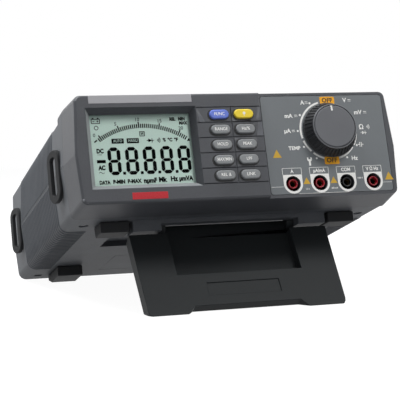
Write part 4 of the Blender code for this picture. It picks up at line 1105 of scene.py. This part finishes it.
for number in range(5):
    ink += digit(DIGIT_LEFT + DIGIT_PITCH * number, DIGIT_TOP)
    if number < 4:
        point = lcd(DIGIT_LEFT + DIGIT_PITCH * number + DIGIT_WIDE + 1.7, DIGIT_TOP + DIGIT_HIGH - 1.1)
        on_glass(oblong(point, 1.9, 1.9, 0.3))
print("digit bars:", len(ink))

# %% The bar graph
ARC_CENTRE, ARC_RADIUS = lcd(36.0, 60.7), 53.2
TICKS, TICK_STEP, TICK_START = 46, 1.51, -34.0

ticks_tree = Pattern("ticks", Wide="number", High="number")
tick_size = ticks_tree.node(
    "ShaderNodeCombineXYZ", {},
    {"X": ticks_tree.given("Wide"), "Y": PRINT_THICK, "Z": ticks_tree.given("High")},
)
tick_box = ticks_tree.node("GeometryNodeMeshCube", {}, {"Size": tick_size})
turned_to = ticks_tree.node("GeometryNodeInputNamedAttribute", {"data_type": "FLOAT"}, {"Name": "turn"})
tick_turn = ticks_tree.node("ShaderNodeCombineXYZ", {}, {"Y": turned_to})
ticks_tree.close(
    ticks_tree.node("GeometryNodeInstanceOnPoints", {}, {
        "Points": Signal(ticks_tree, ticks_tree.entry.outputs[0]),
        "Instance": tick_box,
        "Rotation": tick_turn,
    }),
    "lcd_ink",
)


def ticks(numbers, high, wide):
    """Ticks on the arc, all standing on its inner edge."""
    angles = [TICK_START + TICK_STEP * number for number in numbers]
    places = [arc(ARC_CENTRE, ARC_RADIUS - 1.3 + high / 2, angle, angle, 1)[0] for angle in angles]
    mesh = bpy.data.meshes.new("tick_places")
    mesh.from_pydata([(x, INK_Y + PRINT_THICK / 2, z) for x, z in places], [], [])
    turns = mesh.attributes.new("turn", "FLOAT", "POINT")
    turns.data.foreach_set("value", [math.radians(angle) for angle in angles])
    return ticks_tree.make(mesh, Wide=wide, High=high)


ink.append(ticks([n for n in range(TICKS) if (n - 1) % 10], 2.9, 0.8))
ink.append(ticks(range(1, TICKS, 10), 4.3, 0.85))
end_angle = TICK_START + TICK_STEP * (TICKS + 0.3)
tip = arc(ARC_CENTRE, ARC_RADIUS, end_angle + 1.8, end_angle + 1.8, 1)[0]
inner = arc(ARC_CENTRE, ARC_RADIUS - 1.4, end_angle, end_angle, 1)[0]
outer = arc(ARC_CENTRE, ARC_RADIUS + 1.4, end_angle, end_angle, 1)[0]
on_glass([outer, tip, inner])
on_glass(stroke(lcd(2.7, 18.0), lcd(4.6, 16.6), 0.9))

faint = []
for text, number in (("0", -0.6), ("5", 10.5), ("10", 20.6), ("15", 30.8), ("20", 41)):
    angle = TICK_START + TICK_STEP * number
    place = arc(ARC_CENTRE, ARC_RADIUS + 4.6, angle, angle, 1)[0]
    faint.append(words(text, place, 2.3, INK_Y, bold=0.03))
print("ticks:", TICKS)

# %% Signs and units
LCD_WORDS = (
    # text, across, down, height, squeeze
    ("REL", 57.7, 3.2, 2.1, 0.85), ("MIN", 64.2, 3.2, 2.1, 0.85), ("MAX", 65.0, 6.1, 2.1, 0.85),
    ("%", 50.6, 17.6, 2.2, 0.9), ("°C", 54.6, 17.6, 2.2, 0.9), ("°F", 58.8, 17.6, 2.2, 0.9),
    ("DC", 5.9, 24.2, 2.8, 0.8), ("AC", 6.2, 35.6, 2.8, 0.8), ("DATA", 7.2, 45.6, 2.3, 0.8),
    ("P-MIN", 16.9, 45.4, 2.5, 0.85), ("P-MAX", 27.3, 45.3, 2.5, 0.85), ("nµmF", 38.2, 45.2, 3.0, 0.9),
    ("Mk", 46.6, 44.9, 3.0, 0.95), ("Hz", 54.6, 44.6, 3.0, 0.95), ("µmVA", 62.9, 44.6, 3.0, 0.85),
)
for text, across, down, height, squeeze in LCD_WORDS:
    ink.append(words(text, lcd(across, down), height, INK_Y, 0.075, squeeze))
ink += diode(*lcd(41.3, 17.6), 1.7, INK_Y) + buzzer(*lcd(46.3, 17.6), INK_Y)
on_glass(oblong(lcd(6.2, 31.2), 5.9, 2.1, 0.2))
for part in range(3):
    on_glass(stroke(lcd(4.1 + 1.1 * part, 26.6), lcd(4.8 + 1.1 * part, 26.6), 0.3))
on_glass(band(lcd(5.0, 39.3), 0.9, 0.3, 290, 430, 8))
on_glass(band(lcd(6.7, 38.5), 0.9, 0.3, 110, 250, 8))
on_glass(disc(lcd(4.8, 8.2), 1.5, 24), disc(lcd(4.8, 8.2), 1.1, 24))
on_glass(oblong(lcd(4.7, 3.6), 6.0, 3.4, 0.3), oblong(lcd(4.7, 3.6), 5.2, 2.6, 0.2))
ink += [mark(oblong(lcd(across, 1.6), 1.1, 0.8), y=INK_Y) for across in (3.0, 6.4)]
ink += [mark(stroke(lcd(across - 0.6, 3.7), lcd(across + 0.6, 3.7), 0.4), y=INK_Y) for across in (3.3, 6.1)]
on_glass(stroke(lcd(6.1, 3.1), lcd(6.1, 4.3), 0.4))
H_BOX = lcd(35.7, 12.9)
on_glass(oblong(H_BOX, 3.7, 3.4, 0.2), oblong(H_BOX, 2.9, 2.6, 0.1))
ink.append(words("H", H_BOX, 1.8, INK_Y, 0.06))
glow = []
for text, across, wide in (("AUTO", 18.5, 8.3), ("MANU", 28.9, 8.3)):
    on_glass(oblong(lcd(across, 17.5), wide, 3.4, 0.3))
    glow.append(words(text, lcd(across, 17.5), 1.9, INK_Y - 0.08, bold=0.0, squeeze=0.8))
black_ink = joined(ink)
settle("display_ink", black_ink, "lcd_ink", "instrument")
settle("display_faint_ink", joined(faint), "lcd_faint_ink", "instrument")
settle("display_reversed_words", joined(glow), "lcd_glass", "instrument")
print("display ink faces:", len(black_ink.polygons))

# %% [markdown]
# ## Painted highlights in the recess
#
# The recess narrows towards the glass like a picture frame. Its left and lower slopes catch the light, and a
# paler painted highlight stands for that beside the display. Each highlight is a thin sheet that lies on
# its slope.

# %% Painted highlight sheets on the slopes
SLOPE, SLOPE_DEEP, SHEET = 3.6, 5.5, 0.06
LCD_BOTTOM, LCD_RIGHT = LCD_TOP - 48.4, LCD_LEFT + 69.0


def facing(outer_a, outer_b, inner_b, inner_a, inwards):
    """A thin sheet of painted highlight over a slope that runs from the face to the glass, lifted off it along
    inwards.
    """
    rim = [(outer_a, 0.15), (outer_b, 0.15), (inner_b, SLOPE_DEEP - 0.15), (inner_a, SLOPE_DEEP - 0.15)]
    points = [
        (x + inwards[0] * lift, y - lift * 0.7, z + inwards[1] * lift)
        for lift in (-SHEET, SHEET) for (x, z), y in rim
    ]
    mesh = bpy.data.meshes.new("facing")
    mesh.from_pydata(points, [], [
        (0, 1, 2, 3), (4, 7, 6, 5), (0, 4, 5, 1), (1, 5, 6, 2), (2, 6, 7, 3), (3, 7, 4, 0),
    ])
    return outward(mesh)


outer_corners = [
    (LCD_LEFT - SLOPE, LCD_TOP + SLOPE),
    (LCD_LEFT - SLOPE, LCD_BOTTOM - SLOPE),
    (LCD_RIGHT + SLOPE, LCD_BOTTOM - SLOPE),
]
inner_corners = [(LCD_LEFT, LCD_TOP), (LCD_LEFT, LCD_BOTTOM), (LCD_RIGHT, LCD_BOTTOM)]
# Painted highlight sheets on the left slope and the lower slope of the recess.
sheets = [
    facing(outer_corners[0], outer_corners[1], inner_corners[1], inner_corners[0], (0.7, 0.0)),
    facing(outer_corners[1], outer_corners[2], inner_corners[2], inner_corners[1], (0.0, 0.7)),
]
settle("recess_highlight_sheets", joined(sheets), "recess_satin", "instrument")
print("facings on", len(sheets), "slopes")

# %% [markdown]
# ## Strip and badge
#
# Above the display a pale strip of satin film carries nothing but its own sheen, and below it sits a small
# red badge. The badge is left plain here. Both are thin films in a shallow seat, with a slight round at
# their edges.

# %% Films on the bezel
strip = plate([oblong((-67.2, 36.75), 71.0, 5.5, 0.25)], -0.12, 0.5, 0.05)
settle("top_strip", strip, "strip_film", "instrument")
badge = plate([oblong((-67.0, -29.5), 24.2, 4.6, 0.3)], -0.2, 0.5, 0.08)
settle("badge", badge, "badge_film", "instrument")
print("films in place")

# %% End
size = {"cad": [list(corner) for corner in cad_box], "visual": [list(corner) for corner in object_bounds()]}
